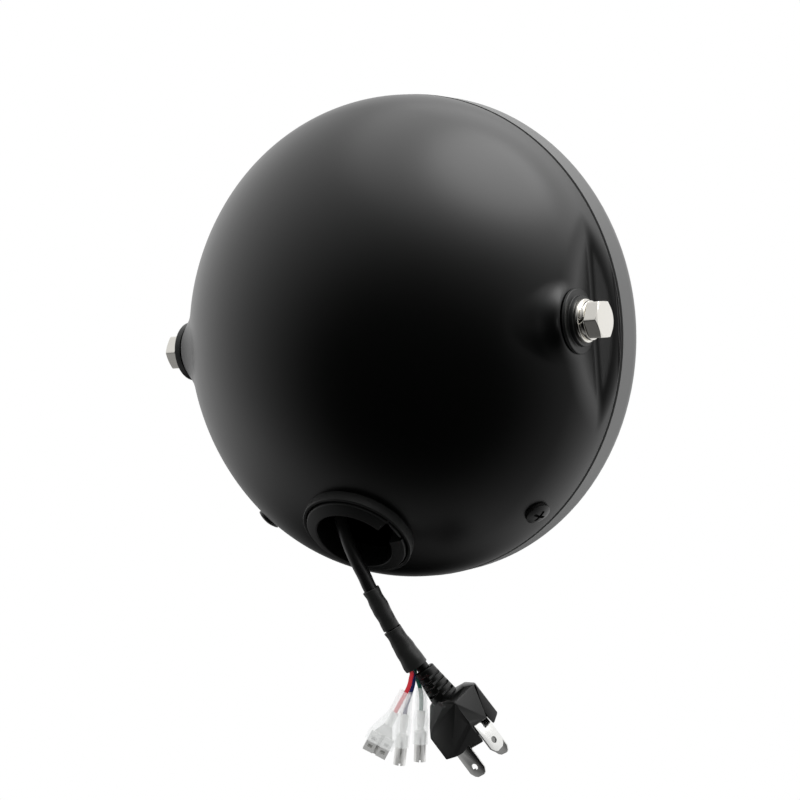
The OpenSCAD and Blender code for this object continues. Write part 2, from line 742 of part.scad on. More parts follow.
// Grommet: a turned rubber ring that grips the edge of the hole from both sides. Outside it has
// a low ridge, a groove, and a lip that rises to the cable way and has a notch for a cable
module notch(r, low, w) {
  half = asin(w / 2 / grommet_bore_r);
  rotate([0, 0, notch_turn]) intersection() {
    translate([0, 0, low]) cylinder(r = r, h = dome_r);
    linear_extrude(3 * dome_r) polygon([[0, 0], 2 * r * [cos(half), -sin(half)], 2 * r * [cos(half), sin(half)]]);
  }
}
module cable_grommet() {
  edge_h = sqrt(dome_r * dome_r - grommet_r * grommet_r);
  ridge_h = edge_h + grommet_ridge;
  lip_h = ridge_h + grommet_lip;
  back_h = dome_r - wall - 4.5;
  groove_r = grommet_r - 1.3;
  color("#1a1b1c") at_hole() difference() {
    union() {
      difference() {
        rotate_extrude()
          polygon([[grommet_bore_r, edge_h - 2], [grommet_r, edge_h - 2], [grommet_r, ridge_h - 0.5],
            [grommet_r - 0.2, ridge_h - 0.1], [grommet_r - 0.6, ridge_h], [grommet_r - 1, ridge_h - 0.2],
            [groove_r, ridge_h - 0.7], [groove_r, ridge_h - 1.4], [groove_r - 0.3, ridge_h - 1.4],
            [groove_r - 0.4, ridge_h + 0.5], [groove_r - 0.8, ridge_h + 0.9], [grommet_bore_r + 0.7, lip_h],
            [grommet_bore_r + 0.2, lip_h - 0.15], [grommet_bore_r, lip_h - 0.6]]);
        sphere(dome_r);
      }
      translate([0, 0, back_h]) ring(hole_r - snug, grommet_bore_r, dome_r - back_h - 0.5);
      intersection() {
        translate([0, 0, back_h]) ring(hole_r + 2.4, grommet_bore_r, dome_r - back_h);
        sphere(dome_r - wall);
      }
    }
    notch(groove_r - 0.35, edge_h + 1.2, notch_w);
    notch(hole_r - 1.2, back_h - 1, notch_w - 1);
  }
}

// Jacketed lead and its two heat shrink sleeves
module lead() { color("#141414") tube(concat(lead_path, lead_tail), lead_r, lead_sides); }
module upper_sleeve() {
  color("#0f0f10") hang_along(upper_from, upper_turn) difference() {
    rotate_extrude() polygon([[0, 0], [sleeve_r - 0.3, 0], [sleeve_r, 0.5], [sleeve_r, upper_len - 0.5],
      [sleeve_r - 0.3, upper_len], [0, upper_len]]);
    translate([0, 0, -1]) cylinder(r = lead_r + snug, h = upper_len + 2);
  }
}
module lower_sleeve() {
  color("#0f0f10") difference() {
    hang_along(lower_from, lower_turn) difference() {
      rotate_extrude() polygon([[0, 0], [sleeve_r, 0], [sleeve_r + 0.3, 0.6], [lower_sleeve_r - 0.2, lower_len * 0.6],
        [lower_sleeve_r, lower_len - 0.6], [lower_sleeve_r - 0.3, lower_len], [0, lower_len]]);
      translate([0, 0, -1]) cylinder(r = lead_r + snug, h = lead_in_sleeve + 1);
      for (hole = [red_hole, blue_hole, green_hole])
        translate([hole[0], hole[1], lower_len - wire_in_sleeve]) cylinder(r = wire_r + snug, h = wire_in_sleeve + 1);
    }
    hang_along(plug_from, plug_turn) translate([0, 0, -relief_len - neck_len - snug])
      cylinder(r = neck_r + snug, h = neck_len + 1);
  }
}

// Strain relief: a neck, then a tapered body with broken grooves so that it can bend
module strain_relief() {
  groove_count = 4;
  groove_pitch = 2.4;
  top_r = 3.2;
  foot_r = 4.5;
  web = 1.6;
  color("#121213") hang_along(plug_from, plug_turn) rotate([0, 0, plug_roll]) {
    translate([0, 0, -relief_len - neck_len]) cylinder(r = neck_r, h = neck_len + 1);
    difference() {
      translate([0, 0, -relief_len]) cylinder(r1 = top_r, r2 = foot_r, h = relief_len);
      for (i = [0:groove_count - 1], turn = [0, 90])
        rotate([0, 0, 45 + turn]) difference() {
          translate([-2 * foot_r, -2 * foot_r, -relief_len + 1.6 + groove_pitch * (i + turn / 180)])
            cube([4 * foot_r, 4 * foot_r, 0.9]);
          cylinder(r = neck_r - 0.2, h = 3 * relief_len, center = true);
          translate([-2 * foot_r, -web, -relief_len]) cube([4 * foot_r, 2 * web, relief_len]);
        }
    }
  }
}

// Plug: a moulded block with sloping shoulders, a stepped nose and three blades
plug_len = 20;
step_at = 13.5;
side_step = 8.8;
nose_step = 4.6;
nose_low = -3.6;
blade_a = [7.2, 0];
blade_b = [-3.5, 5.4];
blade_c = [-3.5, -5.4];
blade_root = 8;
module plug_frame() { hang_along(plug_from, plug_turn) rotate([0, 0, plug_roll]) children(); }
module blade(extra) {
  tip = plug_len + blade_len - 2;
  low = plug_len - blade_root - extra;
  rotate([90, 0, 0]) translate([0, 0, -blade_t / 2 - extra]) linear_extrude(blade_t + 2 * extra) difference() {
    union() {
      polygon([[-blade_w / 2 - extra, low], [blade_w / 2 + extra, low], [blade_w / 2 + extra, tip - 2.2],
        [blade_w / 2 - 1.2, tip - 0.4], [blade_w / 2 - 2.4, tip], [-blade_w / 2 + 2.4, tip],
        [-blade_w / 2 + 1.2, tip - 0.4], [-blade_w / 2 - extra, tip - 2.2]]);
    }
    if (extra == 0) translate([0, tip - 4.2]) circle(1.25);
  }
}
module blades(extra) {
  translate([blade_a[0], blade_a[1], 0]) rotate([0, 0, 90]) blade(extra);
  translate([blade_b[0], blade_b[1], 0]) blade(extra);
  translate([blade_c[0], blade_c[1], 0]) blade(extra);
}
module plug_body() {
  color("#1b1c1d") plug_frame() difference() {
    intersection() {
      linear_extrude(plug_len)
        polygon([[10.5, -4.2], [10.5, 7.5], [-9.5, 7.5], [-12.5, 4.5], [-12.5, -4.5], [-9.5, -7.5], [7.4, -7.5]]);
      translate([0, plug_len, 0]) rotate([90, 0, 0]) linear_extrude(2 * plug_len)
        polygon([[-5.5, 0], [6, 0], [10.6, 4], [10.6, plug_len + 1], [-12.6, plug_len + 1], [-12.6, 8]]);
      translate([-plug_len, 0, 0]) rotate([90, 0, 90]) linear_extrude(2 * plug_len)
        polygon([[-5.2, 0], [5.2, 0], [7.6, 2.6], [7.6, 12], [6.5, plug_len + 0.1], [-6.5, plug_len + 0.1],
          [-7.6, 12], [-7.6, 2.6]]);
    }
    translate([side_step, nose_low, step_at]) cube([plug_len, plug_len, plug_len]);
    translate([nose_step, nose_low, step_at + 2.5]) cube([plug_len, plug_len, plug_len]);
    blades(snug);
  }
}
module plug_blades() { color("#d8d6cf") plug_frame() blades(0); }

module red_wire() { color("#d0202c") tube(red_path, wire_r, wire_sides); }
module blue_wire() { color("#2b2f9a") tube(blue_path, wire_r, wire_sides); }
module green_wire() { color("#1f6b55") tube(green_path, wire_r, wire_sides); }

// Flat receptacle: a crimp, a flared neck and a folded box with its seam and windows in front
flat_len = 17.3;
flat_w = 9.2;
flat_h = 2.6;
module flat_terminal() {
  box_at = 9.6;
  color("#dadad6") hang_along(red_at, red_turn) difference() {
    union() {
      cylinder(r = crimp_r, h = crimp_len + 0.5);
      translate([0.5, 0, 0]) rotate([0, -90, 0]) linear_extrude(1)
        polygon([[crimp_len - 0.5, -1.2], [crimp_len - 0.5, 1.2], [box_at + 0.5, flat_w / 2 - 0.6],
          [box_at + 0.5, -flat_w / 2 + 0.6]]);
      translate([-flat_h / 2, -flat_w / 2, box_at]) cube([flat_h, flat_w, flat_len - box_at]);
    }
    translate([0, 0, -1]) cylinder(r = wire_r + snug, h = wire_in_crimp + 1);
    translate([-0.5, -flat_w / 2 + 0.5, box_at + 0.6]) cube([1, flat_w - 1, flat_len]);
    translate([-flat_h, -0.6, box_at - 0.1]) cube([flat_h, 1.2, flat_len]);
    for (y = [-2.6, 2.6], z = [box_at + 2, box_at + 5])
      translate([-flat_h, y - 0.9, z]) cube([flat_h, 1.8, 1.2]);
  }
}

// Round receptacle for a bullet: a crimp, a neck and a slit socket
bullet_len = 19;
socket_r = 2.25;
socket_bore_r = 1.95;
socket_depth = 10;
module bullet(at, turn) {
  color("#dcdcd8") hang_along(at, turn) difference() {
    rotate_extrude() polygon([[0, 0], [crimp_r, 0], [crimp_r, crimp_len], [1.2, crimp_len + 1],
      [1.2, crimp_len + 2], [socket_r, crimp_len + 3], [socket_r, bullet_len], [0, bullet_len]]);
    translate([0, 0, -1]) cylinder(r = wire_r + snug, h = wire_in_crimp + 1);
    translate([0, 0, bullet_len - socket_depth]) cylinder(r = socket_bore_r, h = socket_depth + 1);
    translate([-4, -0.3, bullet_len - socket_depth + 1]) cube([4, 0.6, 20]);
  }
}
module blue_bullet() { bullet(blue_at, blue_turn); }
module green_bullet() { bullet(green_at, green_turn); }

// Clear boots over the terminals
boot_top = 8.5;
boot_t = 0.45;
module flat_boot_form(d) {
  hull() {
    translate([0, 0, -boot_top - (d > 0 ? 1 : 0)]) cylinder(r = 2.4 - d, h = 1, $fn = 32);
    translate([0, 0, 1]) cylinder(r = 2.7 - d, h = 1, $fn = 32);
  }
  hull() {
    translate([0, 0, 1]) cylinder(r = 2.7 - d, h = 1, $fn = 32);
    for (y = [-3.2, 3.2]) translate([0, y, 9.5]) cylinder(r = 2.6 - d, h = 4 + (d > 0 ? 1 : 0), $fn = 32);
  }
}
module flat_boot() {
  color("#eef2f2", 0.5) hang_along(red_at, red_turn) difference() {
    flat_boot_form(0);
    flat_boot_form(boot_t);
  }
}
module round_boot(at, turn) {
  color("#eef2f2", 0.5) hang_along(at, turn) rotate_extrude()
    polygon([[1.7, -boot_top], [2.2, -boot_top], [2.3, -1], [socket_r + 0.65, 3], [socket_r + 0.65, 12.5],
      [socket_r + 0.2, 12.5], [socket_r + 0.2, 3.4], [1.7, -0.6]]);
}
module blue_boot() { round_boot(blue_at, blue_turn); }
module green_boot() { round_boot(green_at, green_turn); }

bucket();
rim();
rim_gasket();
lens();
halo_ring();
inner_bezel();
low_reflector();
high_reflector();
low_led_board();
high_led_board();
unit_housing();
retaining_ring();
retaining_screws();
driver_cover();
cover_screws();
cable_gland();
rim_tabs();
clip_nuts();
left_rim_screw();
right_rim_screw();
left_pad();
right_pad();
left_flat_washer();
right_flat_washer();
left_spring_washer();
right_spring_washer();
left_bolt();
right_bolt();
inner_nuts();
cable_grommet();
lead();
upper_sleeve();
lower_sleeve();
strain_relief();
plug_body();
plug_blades();
red_wire();
blue_wire();
green_wire();
flat_terminal();
blue_bullet();
green_bullet();
flat_boot();
blue_boot();
green_boot();
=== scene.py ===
"""Looks of the round motorcycle headlight: materials, finer meshes for what shows, studio."""
import json
import math

import bmesh
import bpy
import numpy as np
from mathutils import Matrix, Vector


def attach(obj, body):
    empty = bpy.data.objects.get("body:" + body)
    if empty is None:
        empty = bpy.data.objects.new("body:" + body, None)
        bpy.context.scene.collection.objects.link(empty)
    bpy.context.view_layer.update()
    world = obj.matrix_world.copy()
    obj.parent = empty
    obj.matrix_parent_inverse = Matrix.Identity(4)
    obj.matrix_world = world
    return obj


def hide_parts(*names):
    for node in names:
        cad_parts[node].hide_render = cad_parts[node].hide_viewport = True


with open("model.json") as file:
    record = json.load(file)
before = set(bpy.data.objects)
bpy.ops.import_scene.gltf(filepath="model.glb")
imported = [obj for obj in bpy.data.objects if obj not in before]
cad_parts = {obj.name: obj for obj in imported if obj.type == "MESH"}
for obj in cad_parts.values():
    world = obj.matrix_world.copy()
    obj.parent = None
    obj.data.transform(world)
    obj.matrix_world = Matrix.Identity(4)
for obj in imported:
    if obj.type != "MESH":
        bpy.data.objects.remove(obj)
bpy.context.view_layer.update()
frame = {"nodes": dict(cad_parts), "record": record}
MM = 0.001

# Places and sizes that part.scad holds too, in millimetres and degrees
LEAD_D, WIRE_D = 5.2, 1.6
HANG_AT, HANG_TURN = (0, 24, -78), 213
UPPER_FROM, UPPER_TURN, UPPER_LEN = (4.6, -15.8), -65.5, 15.6
LOWER_FROM, LOWER_TURN, LOWER_LEN = (11.75, -31.33), -61, 16.4
LEAD_IN_SLEEVE, WIRE_IN_SLEEVE, WIRE_IN_CRIMP = 6, 10.2, 4
PLUG_FROM, PLUG_TURN = (29.4, -57.6), -57
WIRES = {
    "red": dict(hole=(-1.25, -2.65), end=(10.6, -61.4, 2.6), turn=-121.5, lead_in=1.6,
                way=[(17.2, -49.6, 1.4), (16.5, -51.9, 1.7), (15.3, -54.2, 2), (13.8, -56.5, 2.3)]),
    "blue": dict(hole=(0.8, -2.35), end=(14.2, -63.2, -2.6), turn=-100.5, lead_in=2,
                 way=[(18.3, -49.4, -1.1), (18, -52, -1.5), (17.1, -54.8, -2), (15.9, -57.6, -2.4)]),
    "green": dict(hole=(2.45, -1.35), end=(20.3, -62.6, -4.4), turn=-95.5, lead_in=1.6,
                  way=[(19.1, -49, -3), (19.9, -51.6, -3.6), (20.5, -54.4, -4.1), (20.7, -57.4, -4.4)]),
}
LEAD_ROUTE = [
    (12, 11.9, -40), (12, 12.1, -44), (11.9, 13, -48.5), (11.6, 14.6, -53), (10.9, 16.7, -57.5),
    (9.8, 18.8, -62), (8.3, 20.4, -66.5), (6.5, 21.5, -71), (4.5, 22.1, -75.5),
    (2.4, 22.4, -80), (0.2, 22.4, -84.5), (-2, 22.1, -89),
]
# How far behind the lower sleeve's end a wire's first points lie
WIRE_DEPTHS = (WIRE_IN_SLEEVE, 3, -0.5)


def on_hang(p):
    """A point of the hanging plane (right, up, towards the viewer) in the row frame."""
    turn = math.radians(HANG_TURN)
    near = p[2] if len(p) > 2 else 0
    return (HANG_AT[0] + p[0] * math.cos(turn) + near * math.sin(turn),
            HANG_AT[1] + p[0] * math.sin(turn) - near * math.cos(turn),
            HANG_AT[2] + p[1])


def ahead(p, turn, d):
    """The point of the hanging plane that lies d from p along the given turn."""
    near = p[2] if len(p) > 2 else 0
    return (p[0] + d * math.cos(math.radians(turn)), p[1] + d * math.sin(math.radians(turn)), near)


def wire_mouth(hole, back):
    """The middle of a wire's hole in the lower sleeve, at a depth behind the sleeve's end."""
    p = ahead(LOWER_FROM, LOWER_TURN, LOWER_LEN - back)
    turn = math.radians(LOWER_TURN)
    return on_hang((p[0] - hole[1] * math.sin(turn), p[1] + hole[1] * math.cos(turn), -hole[0]))


def add_object(name, data):
    obj = bpy.data.objects.new(name, data)
    bpy.context.scene.collection.objects.link(obj)
    return obj


# Camera: the photograph's view, found by fitting the bowl's outline and the rim's seam
CAM_DIST, CAM_AZ, CAM_EL, CAM_ROLL = 0.76539, 212.82, -0.81, -3.92
CAM_FOCAL_PX, CAM_CENTRE_PX, IMAGE_PX = 2000, (376.05, 337.04), 800


def camera_axes():
    az, el = math.radians(CAM_AZ), math.radians(CAM_EL)
    back = Vector((math.sin(az) * math.cos(el), -math.cos(az) * math.cos(el), math.sin(el)))
    right = (-back).cross(Vector((0, 0, 1))).normalized()
    up = right.cross(-back)
    roll = math.radians(CAM_ROLL)
    return (right * math.cos(roll) + up * math.sin(roll),
            up * math.cos(roll) - right * math.sin(roll), back)


def make_camera():
    data = bpy.data.cameras.new("camera")
    camera = add_object("camera", data)
    right, up, back = camera_axes()
    turn = Matrix((right, up, back)).transposed().to_4x4()
    camera.matrix_world = Matrix.Translation(back * CAM_DIST) @ turn
    data.sensor_width = 36
    data.lens = CAM_FOCAL_PX * data.sensor_width / IMAGE_PX
    data.shift_x = (IMAGE_PX / 2 - CAM_CENTRE_PX[0]) / IMAGE_PX
    data.shift_y = (CAM_CENTRE_PX[1] - IMAGE_PX / 2) / IMAGE_PX
    data.clip_start = 0.01
    bpy.context.scene.camera = camera


# Cords
def smooth_route(points, steps=6):
    """Catmull-Rom curve in metres, through points in millimetres."""
    points = [Vector(p) * MM for p in points]
    padded = [2 * points[0] - points[1]] + points + [2 * points[-1] - points[-2]]
    route = []
    for i in range(1, len(padded) - 2):
        a, b, c, d = padded[i - 1:i + 3]
        for s in range(steps):
            t = s / steps
            route.append(0.5 * (2 * b + (c - a) * t + (2 * a - 5 * b + 4 * c - d) * t * t
                                + (3 * b - a - 3 * c + d) * t ** 3))
    return route + [points[-1]]


def cord_curve(name, route, diameter, material):
    data = bpy.data.curves.new(name, "CURVE")
    data.dimensions = "3D"
    data.bevel_depth = diameter / 2
    data.bevel_resolution = 6
    data.use_fill_caps = True
    spline = data.splines.new("POLY")
    spline.points.add(len(route) - 1)
    for point, place in zip(spline.points, route):
        point.co = (*place, 1)
    data.materials.append(material)
    return add_object(name, data)


# Materials
ROUGH_PATCHES = 60


def new_material(name, colour, roughness, metallic=0.0, specular=0.5):
    material = bpy.data.materials.new(name)
    material.use_nodes = True
    shader = material.node_tree.nodes["Principled BSDF"]
    shader.inputs["Base Color"].default_value = (*colour, 1)
    shader.inputs["Roughness"].default_value = roughness
    shader.inputs["Metallic"].default_value = metallic
    shader.inputs["Specular IOR Level"].default_value = specular
    return material, shader


def add_bump(material, shader, scale, strength, distance=0.0002):
    nodes, links = material.node_tree.nodes, material.node_tree.links
    place = nodes.new("ShaderNodeTexCoord")
    noise = nodes.new("ShaderNodeTexNoise")
    noise.inputs["Scale"].default_value = scale
    noise.inputs["Detail"].default_value = 2.0
    bump = nodes.new("ShaderNodeBump")
    bump.inputs["Strength"].default_value = strength
    bump.inputs["Distance"].default_value = distance
    links.new(place.outputs["Object"], noise.inputs["Vector"])
    links.new(noise.outputs["Fac"], bump.inputs["Height"])
    links.new(bump.outputs["Normal"], shader.inputs["Normal"])


def vary_roughness(material, shader, scale, low, high):
    nodes, links = material.node_tree.nodes, material.node_tree.links
    place = nodes.new("ShaderNodeTexCoord")
    noise = nodes.new("ShaderNodeTexNoise")
    noise.inputs["Scale"].default_value = scale
    spread = nodes.new("ShaderNodeMapRange")
    spread.inputs["To Min"].default_value = low
    spread.inputs["To Max"].default_value = high
    links.new(place.outputs["Object"], noise.inputs["Vector"])
    links.new(noise.outputs["Fac"], spread.inputs["Value"])
    links.new(spread.outputs["Result"], shader.inputs["Roughness"])


def plain(name, colour, rough, metallic=0.0, bump=(900, 0.1), spread=0.06, specular=0.5):
    material, shader = new_material(name, colour, rough, metallic, specular)
    add_bump(material, shader, *bump)
    vary_roughness(material, shader, ROUGH_PATCHES, rough - spread, rough + spread)
    return material


def clear_material(name, colour, rough, alpha, painted_glow=0.0):
    material, shader = new_material(name, colour, rough)
    shader.inputs["Alpha"].default_value = alpha
    # the white emission makes the part glow though it is no lamp: painted light
    shader.inputs["Emission Color"].default_value = (1, 1, 1, 1)
    shader.inputs["Emission Strength"].default_value = painted_glow
    add_bump(material, shader, scale=220, strength=0.15)
    return material


MATERIALS = {
    "shell_black": plain("shell_black", (0.0008, 0.001, 0.0009), 0.33, bump=(1800, 0.03), spread=0.015),
    "rim_black": plain("rim_black", (0.07, 0.071, 0.07), 0.4, bump=(1800, 0.05), spread=0.02, specular=1.0),
    "hard_black": plain("hard_black", (0.004, 0.004, 0.004), 0.32),
    "pad_black": plain("pad_black", (0.003, 0.0035, 0.003), 0.4, specular=0.5),
    "bright_nickel": plain("bright_nickel", (0.80, 0.78, 0.73), 0.16, 1.0, bump=(500, 0.05), spread=0.05),
    "zinc_steel": plain("zinc_steel", (0.55, 0.56, 0.58), 0.38, 1.0),
    "tin_plate": plain("tin_plate", (0.84, 0.84, 0.82), 0.2, 1.0, bump=(90, 0.02), spread=0.05),
    "terminal_tin": plain("terminal_tin", (0.95, 0.95, 0.93), 0.3, 0.55, bump=(90, 0.02), spread=0.05),
    "cast_alu": plain("cast_alu", (0.42, 0.43, 0.45), 0.5, 1.0, bump=(400, 0.4)),
    "cover_black": plain("cover_black", (0.02, 0.02, 0.021), 0.5),
    "grommet_rubber": plain("grommet_rubber", (0.002, 0.0026, 0.0022), 0.48, bump=(1200, 0.12), specular=0.4),
    "gasket_rubber": plain("gasket_rubber", (0.01, 0.01, 0.01), 0.8),
    "light_guide": plain("light_guide", (0.85, 0.85, 0.82), 0.3),
    "bezel_black": plain("bezel_black", (0.01, 0.01, 0.011), 0.2),
    "reflector_bright": plain("reflector_bright", (0.85, 0.86, 0.88), 0.08, 1.0, spread=0.02),
    "board_white": plain("board_white", (0.8, 0.8, 0.75), 0.4),
    "gland_black": plain("gland_black", (0.012, 0.012, 0.012), 0.45),
    "jacket_black": plain("jacket_black", (0.004, 0.004, 0.004), 0.32, bump=(300, 0.2)),
    "shrink_black": plain("shrink_black", (0.011, 0.0115, 0.011), 0.36, bump=(260, 0.35)),
    "plug_black": plain("plug_black", (0.002, 0.0024, 0.002), 0.36, bump=(1500, 0.12), specular=0.36),
    "wire_red": plain("wire_red", (0.62, 0.02, 0.035), 0.35),
    "wire_blue": plain("wire_blue", (0.008, 0.018, 0.12), 0.4, specular=0.3),
    "wire_green": plain("wire_green", (0.008, 0.12, 0.08), 0.35),
    "lens_clear": clear_material("lens_clear", (0.95, 0.97, 0.98), 0.03, alpha=0.12),
    # the milky boots glow a little: painted light that brightens them
    "boot_clear": clear_material("boot_clear", (0.93, 0.95, 0.95), 0.2, alpha=0.22, painted_glow=0.16),
}


def node_object(name):
    return frame["nodes"][name]


def dress_nodes():
    slots = {entry["node"]: entry["material_slot"] for entry in frame["record"]["subparts"]}
    for node, slot in slots.items():
        obj = node_object(node)
        obj.data.materials.clear()
        # the small terminals are duller than the blades, which have a mesh of their own
        obj.data.materials.append(MATERIALS["terminal_tin" if slot == "tin_plate" else slot])


# Meshes
def shade(mesh, sharp):
    """Smooth shading, with hard edges above the given angle in degrees."""
    mesh.shade_smooth()
    mesh.set_sharp_from_angle(angle=math.radians(sharp))


def link_mesh(name, verts, faces, material, sharp=30):
    mesh = bpy.data.meshes.new(name)
    mesh.from_pydata([tuple(v) for v in verts], [], faces)
    mesh.materials.append(material)
    obj = add_object(name, mesh)
    form = bmesh.new()
    form.from_mesh(mesh)
    bmesh.ops.recalc_face_normals(form, faces=form.faces)
    form.to_mesh(mesh)
    form.free()
    shade(mesh, sharp)
    return obj


def grid_faces(rows, cols, first=0):
    """Faces between rows of a tube whose columns close round."""
    faces = []
    for i in range(rows - 1):
        for k in range(cols):
            a, b = first + i * cols + k, first + i * cols + (k + 1) % cols
            faces.append((a, a + cols, b + cols, b))
    return faces


def rounded(corners, steps=4):
    """Closed outline from (radius, height, rounding) corners, with each corner as an arc."""
    outline = []
    count = len(corners)
    for i, (r, h, round_by) in enumerate(corners):
        here = Vector((r, h))
        before = Vector(corners[i - 1][:2]) - here
        after = Vector(corners[(i + 1) % count][:2]) - here
        if round_by <= 0:
            outline.append(here)
            continue
        reach = min(round_by, before.length * 0.49, after.length * 0.49)
        start, end = here + before.normalized() * reach, here + after.normalized() * reach
        for s in range(steps + 1):
            t = s / steps
            outline.append(start * (1 - t) ** 2 + here * 2 * t * (1 - t) + end * t * t)
    return outline


def axis_frame(start, along):
    """Origin and three axes, the third one along the given direction."""
    along = Vector(along).normalized()
    aside = along.cross(Vector((0, 0, 1)))
    if aside.length < 0.1:
        aside = along.cross(Vector((0, 1, 0)))
    aside.normalize()
    return Vector(start), aside, along.cross(aside), along


def settle(obj, slot, *nodes):
    """Hide the CAD nodes that an object stands for, and hang the object on the root body; the slot is not
    used.
    """
    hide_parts(*nodes)
    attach(obj, "root")
    return obj


def combine(obj, others, operation):
    """Join closed meshes to an object, or cut them out of it, and apply the result."""
    for other in others:
        modifier = obj.modifiers.new("combine", "BOOLEAN")
        modifier.operation = operation
        modifier.solver = "EXACT"
        modifier.object = other
    depsgraph = bpy.context.evaluated_depsgraph_get()
    mesh = bpy.data.meshes.new_from_object(obj.evaluated_get(depsgraph))
    obj.modifiers.clear()
    obj.data = mesh
    for other in others:
        bpy.data.objects.remove(other)


def soften(obj, width, angle=30):
    """Round off the edges above an angle, with a modifier that stays."""
    modifier = obj.modifiers.new("soften", "BEVEL")
    modifier.width = width * MM
    modifier.segments = 2
    modifier.limit_method = "ANGLE"
    modifier.angle_limit = math.radians(angle)
    modifier.harden_normals = True
    return obj


def rod(name, start, along, radius, from_h, to_h, cols=96):
    """Closed cylinder that serves as a cutter."""
    origin, u, v, w = axis_frame(start, along)
    verts = []
    for h in (from_h, to_h):
        for k in range(cols):
            turn = 2 * math.pi * k / cols
            verts.append((origin + (u * math.cos(turn) + v * math.sin(turn)) * radius + w * h) * MM)
    faces = grid_faces(2, cols) + [tuple(range(cols)), tuple(range(2 * cols - 1, cols - 1, -1))]
    return link_mesh(name, verts, faces, MATERIALS["shell_black"])


# Bucket: the pressed shell, with its bosses blended into the bowl
BUCKET_R, WALL, MOUTH_AHEAD, SPIGOT_LEN = 94, 1.2, 20.5, 5
SHOULDER_R, SHOULDER_ANGLE, SHOULDER_AHEAD = 46, math.radians(32), 21
BOSS_X, BOSS_R, BOSS_FOOT_R, BOSS_FLARE, BOSS_FLARE_ANGLE = 86.3, 12.4, 24, 46, math.radians(22)
FLAT_AHEAD, FLAT_WALL_ANGLE = 12.8, math.radians(39)
HOLE_TILT, HOLE_R, BOLT_HOLE_R, SCREW_HOLE_R = math.radians(45), 18.4, 4.2, 2.6
SCREW_BELOW, SCREW_SLOPE = math.radians(48.6), math.radians(17.8)
SHOULDER_C = BUCKET_R - SHOULDER_R
DOME_R = SHOULDER_R + SHOULDER_C / math.cos(SHOULDER_ANGLE)
DOME_Y = -SHOULDER_AHEAD - SHOULDER_C * math.tan(SHOULDER_ANGLE)
FLARE_R = BOSS_R + BOSS_FLARE * math.cos(BOSS_FLARE_ANGLE)
FLARE_X = BOSS_X + BOSS_FLARE * math.sin(BOSS_FLARE_ANGLE)
HOLE_AXIS = Vector((0, math.sin(HOLE_TILT), -math.cos(HOLE_TILT)))
DOME_CENTRE = Vector((0, DOME_Y, 0))
BOSS_BLEND, FLAT_BLEND, CREASE_BLEND = 3.0, 2.5, 1.2
BLEND_FADE, LEAST_BLEND = 7, 0.03
LIP_H, LIP_ROUND, SPIGOT_EASE, INNER_BACK = 1.6, 0.6, 0.2, 1
SEARCH_FROM, SEARCH_TO, SEARCH_STEPS = 20.0, 120.0, 34
BUCKET_COLS, OUTER_ROWS, INNER_ROWS = 360, 150, 60
# How far the columns crowd towards the bosses, and the rows towards the mouth
COL_CROWD, ROW_CROWD = 0.25, 0.17


def soft_min(a, b, k):
    h = np.maximum(k - np.abs(a - b), 0) / k
    return np.minimum(a, b) - h * h * k / 4


def shell_gap(x, y, z, d):
    """Signed distance (about) to the pressed form moved inwards by d."""
    q = np.hypot(x, z)
    dome = np.hypot(q, y - DOME_Y) - (DOME_R - d)
    shoulder = np.hypot(q - SHOULDER_C, y + SHOULDER_AHEAD) - (SHOULDER_R - d)
    angle = np.arctan2(y - DOME_Y, q)
    barrel = q - (BUCKET_R - d)
    bowl = np.where(angle > SHOULDER_ANGLE, dome, np.where(y > -SHOULDER_AHEAD, shoulder, barrel))
    out = np.abs(x)
    r = np.hypot(y, z)
    flare = BOSS_FLARE + d - np.hypot(r - FLARE_R, out - FLARE_X)
    boss = np.maximum(np.maximum(flare, out - BOSS_X + d), r - BOSS_FOOT_R)
    # the blend fades out before the foot ends, so that no step is left there
    blend = BOSS_BLEND * np.clip((BOSS_FOOT_R - r) / BLEND_FADE, LEAST_BLEND, 1)
    form = soft_min(bowl, boss, blend)
    wall_out = (out - BOSS_X) * math.sin(FLAT_WALL_ANGLE)
    front_wall = wall_out + (y + FLAT_AHEAD) * math.cos(FLAT_WALL_ANGLE) + d
    pressed = soft_min(out - BOSS_X + d, front_wall, CREASE_BLEND)
    return -soft_min(-form, -pressed, FLAT_BLEND)


def skin(polar, turns, d):
    """Points of the form on rays from the middle of the mouth, by halving the interval."""
    down, up = np.meshgrid(polar, turns, indexing="ij")
    way = (np.sin(down) * np.cos(up), np.cos(down), np.sin(down) * np.sin(up))
    low, high = np.full(down.shape, SEARCH_FROM), np.full(down.shape, SEARCH_TO)
    for _ in range(SEARCH_STEPS):
        middle = (low + high) / 2
        outside = shell_gap(way[0] * middle, way[1] * middle - SHOULDER_AHEAD, way[2] * middle, d) > 0
        high = np.where(outside, middle, high)
        low = np.where(outside, low, middle)
    return np.stack([way[0] * low, way[1] * low - SHOULDER_AHEAD, way[2] * low], -1)


def turned_rows(outline, turns):
    return [[(r * math.cos(t), y, r * math.sin(t)) for t in turns] for r, y in outline]


def screw_axis(side):
    """Start on the shoulder's own centre, and direction, of a rim screw."""
    out = Vector((side * math.cos(SCREW_BELOW), 0, -math.sin(SCREW_BELOW)))
    start = out * SHOULDER_C + Vector((0, -SHOULDER_AHEAD, 0))
    return start, out * math.cos(SCREW_SLOPE) + Vector((0, math.sin(SCREW_SLOPE), 0))


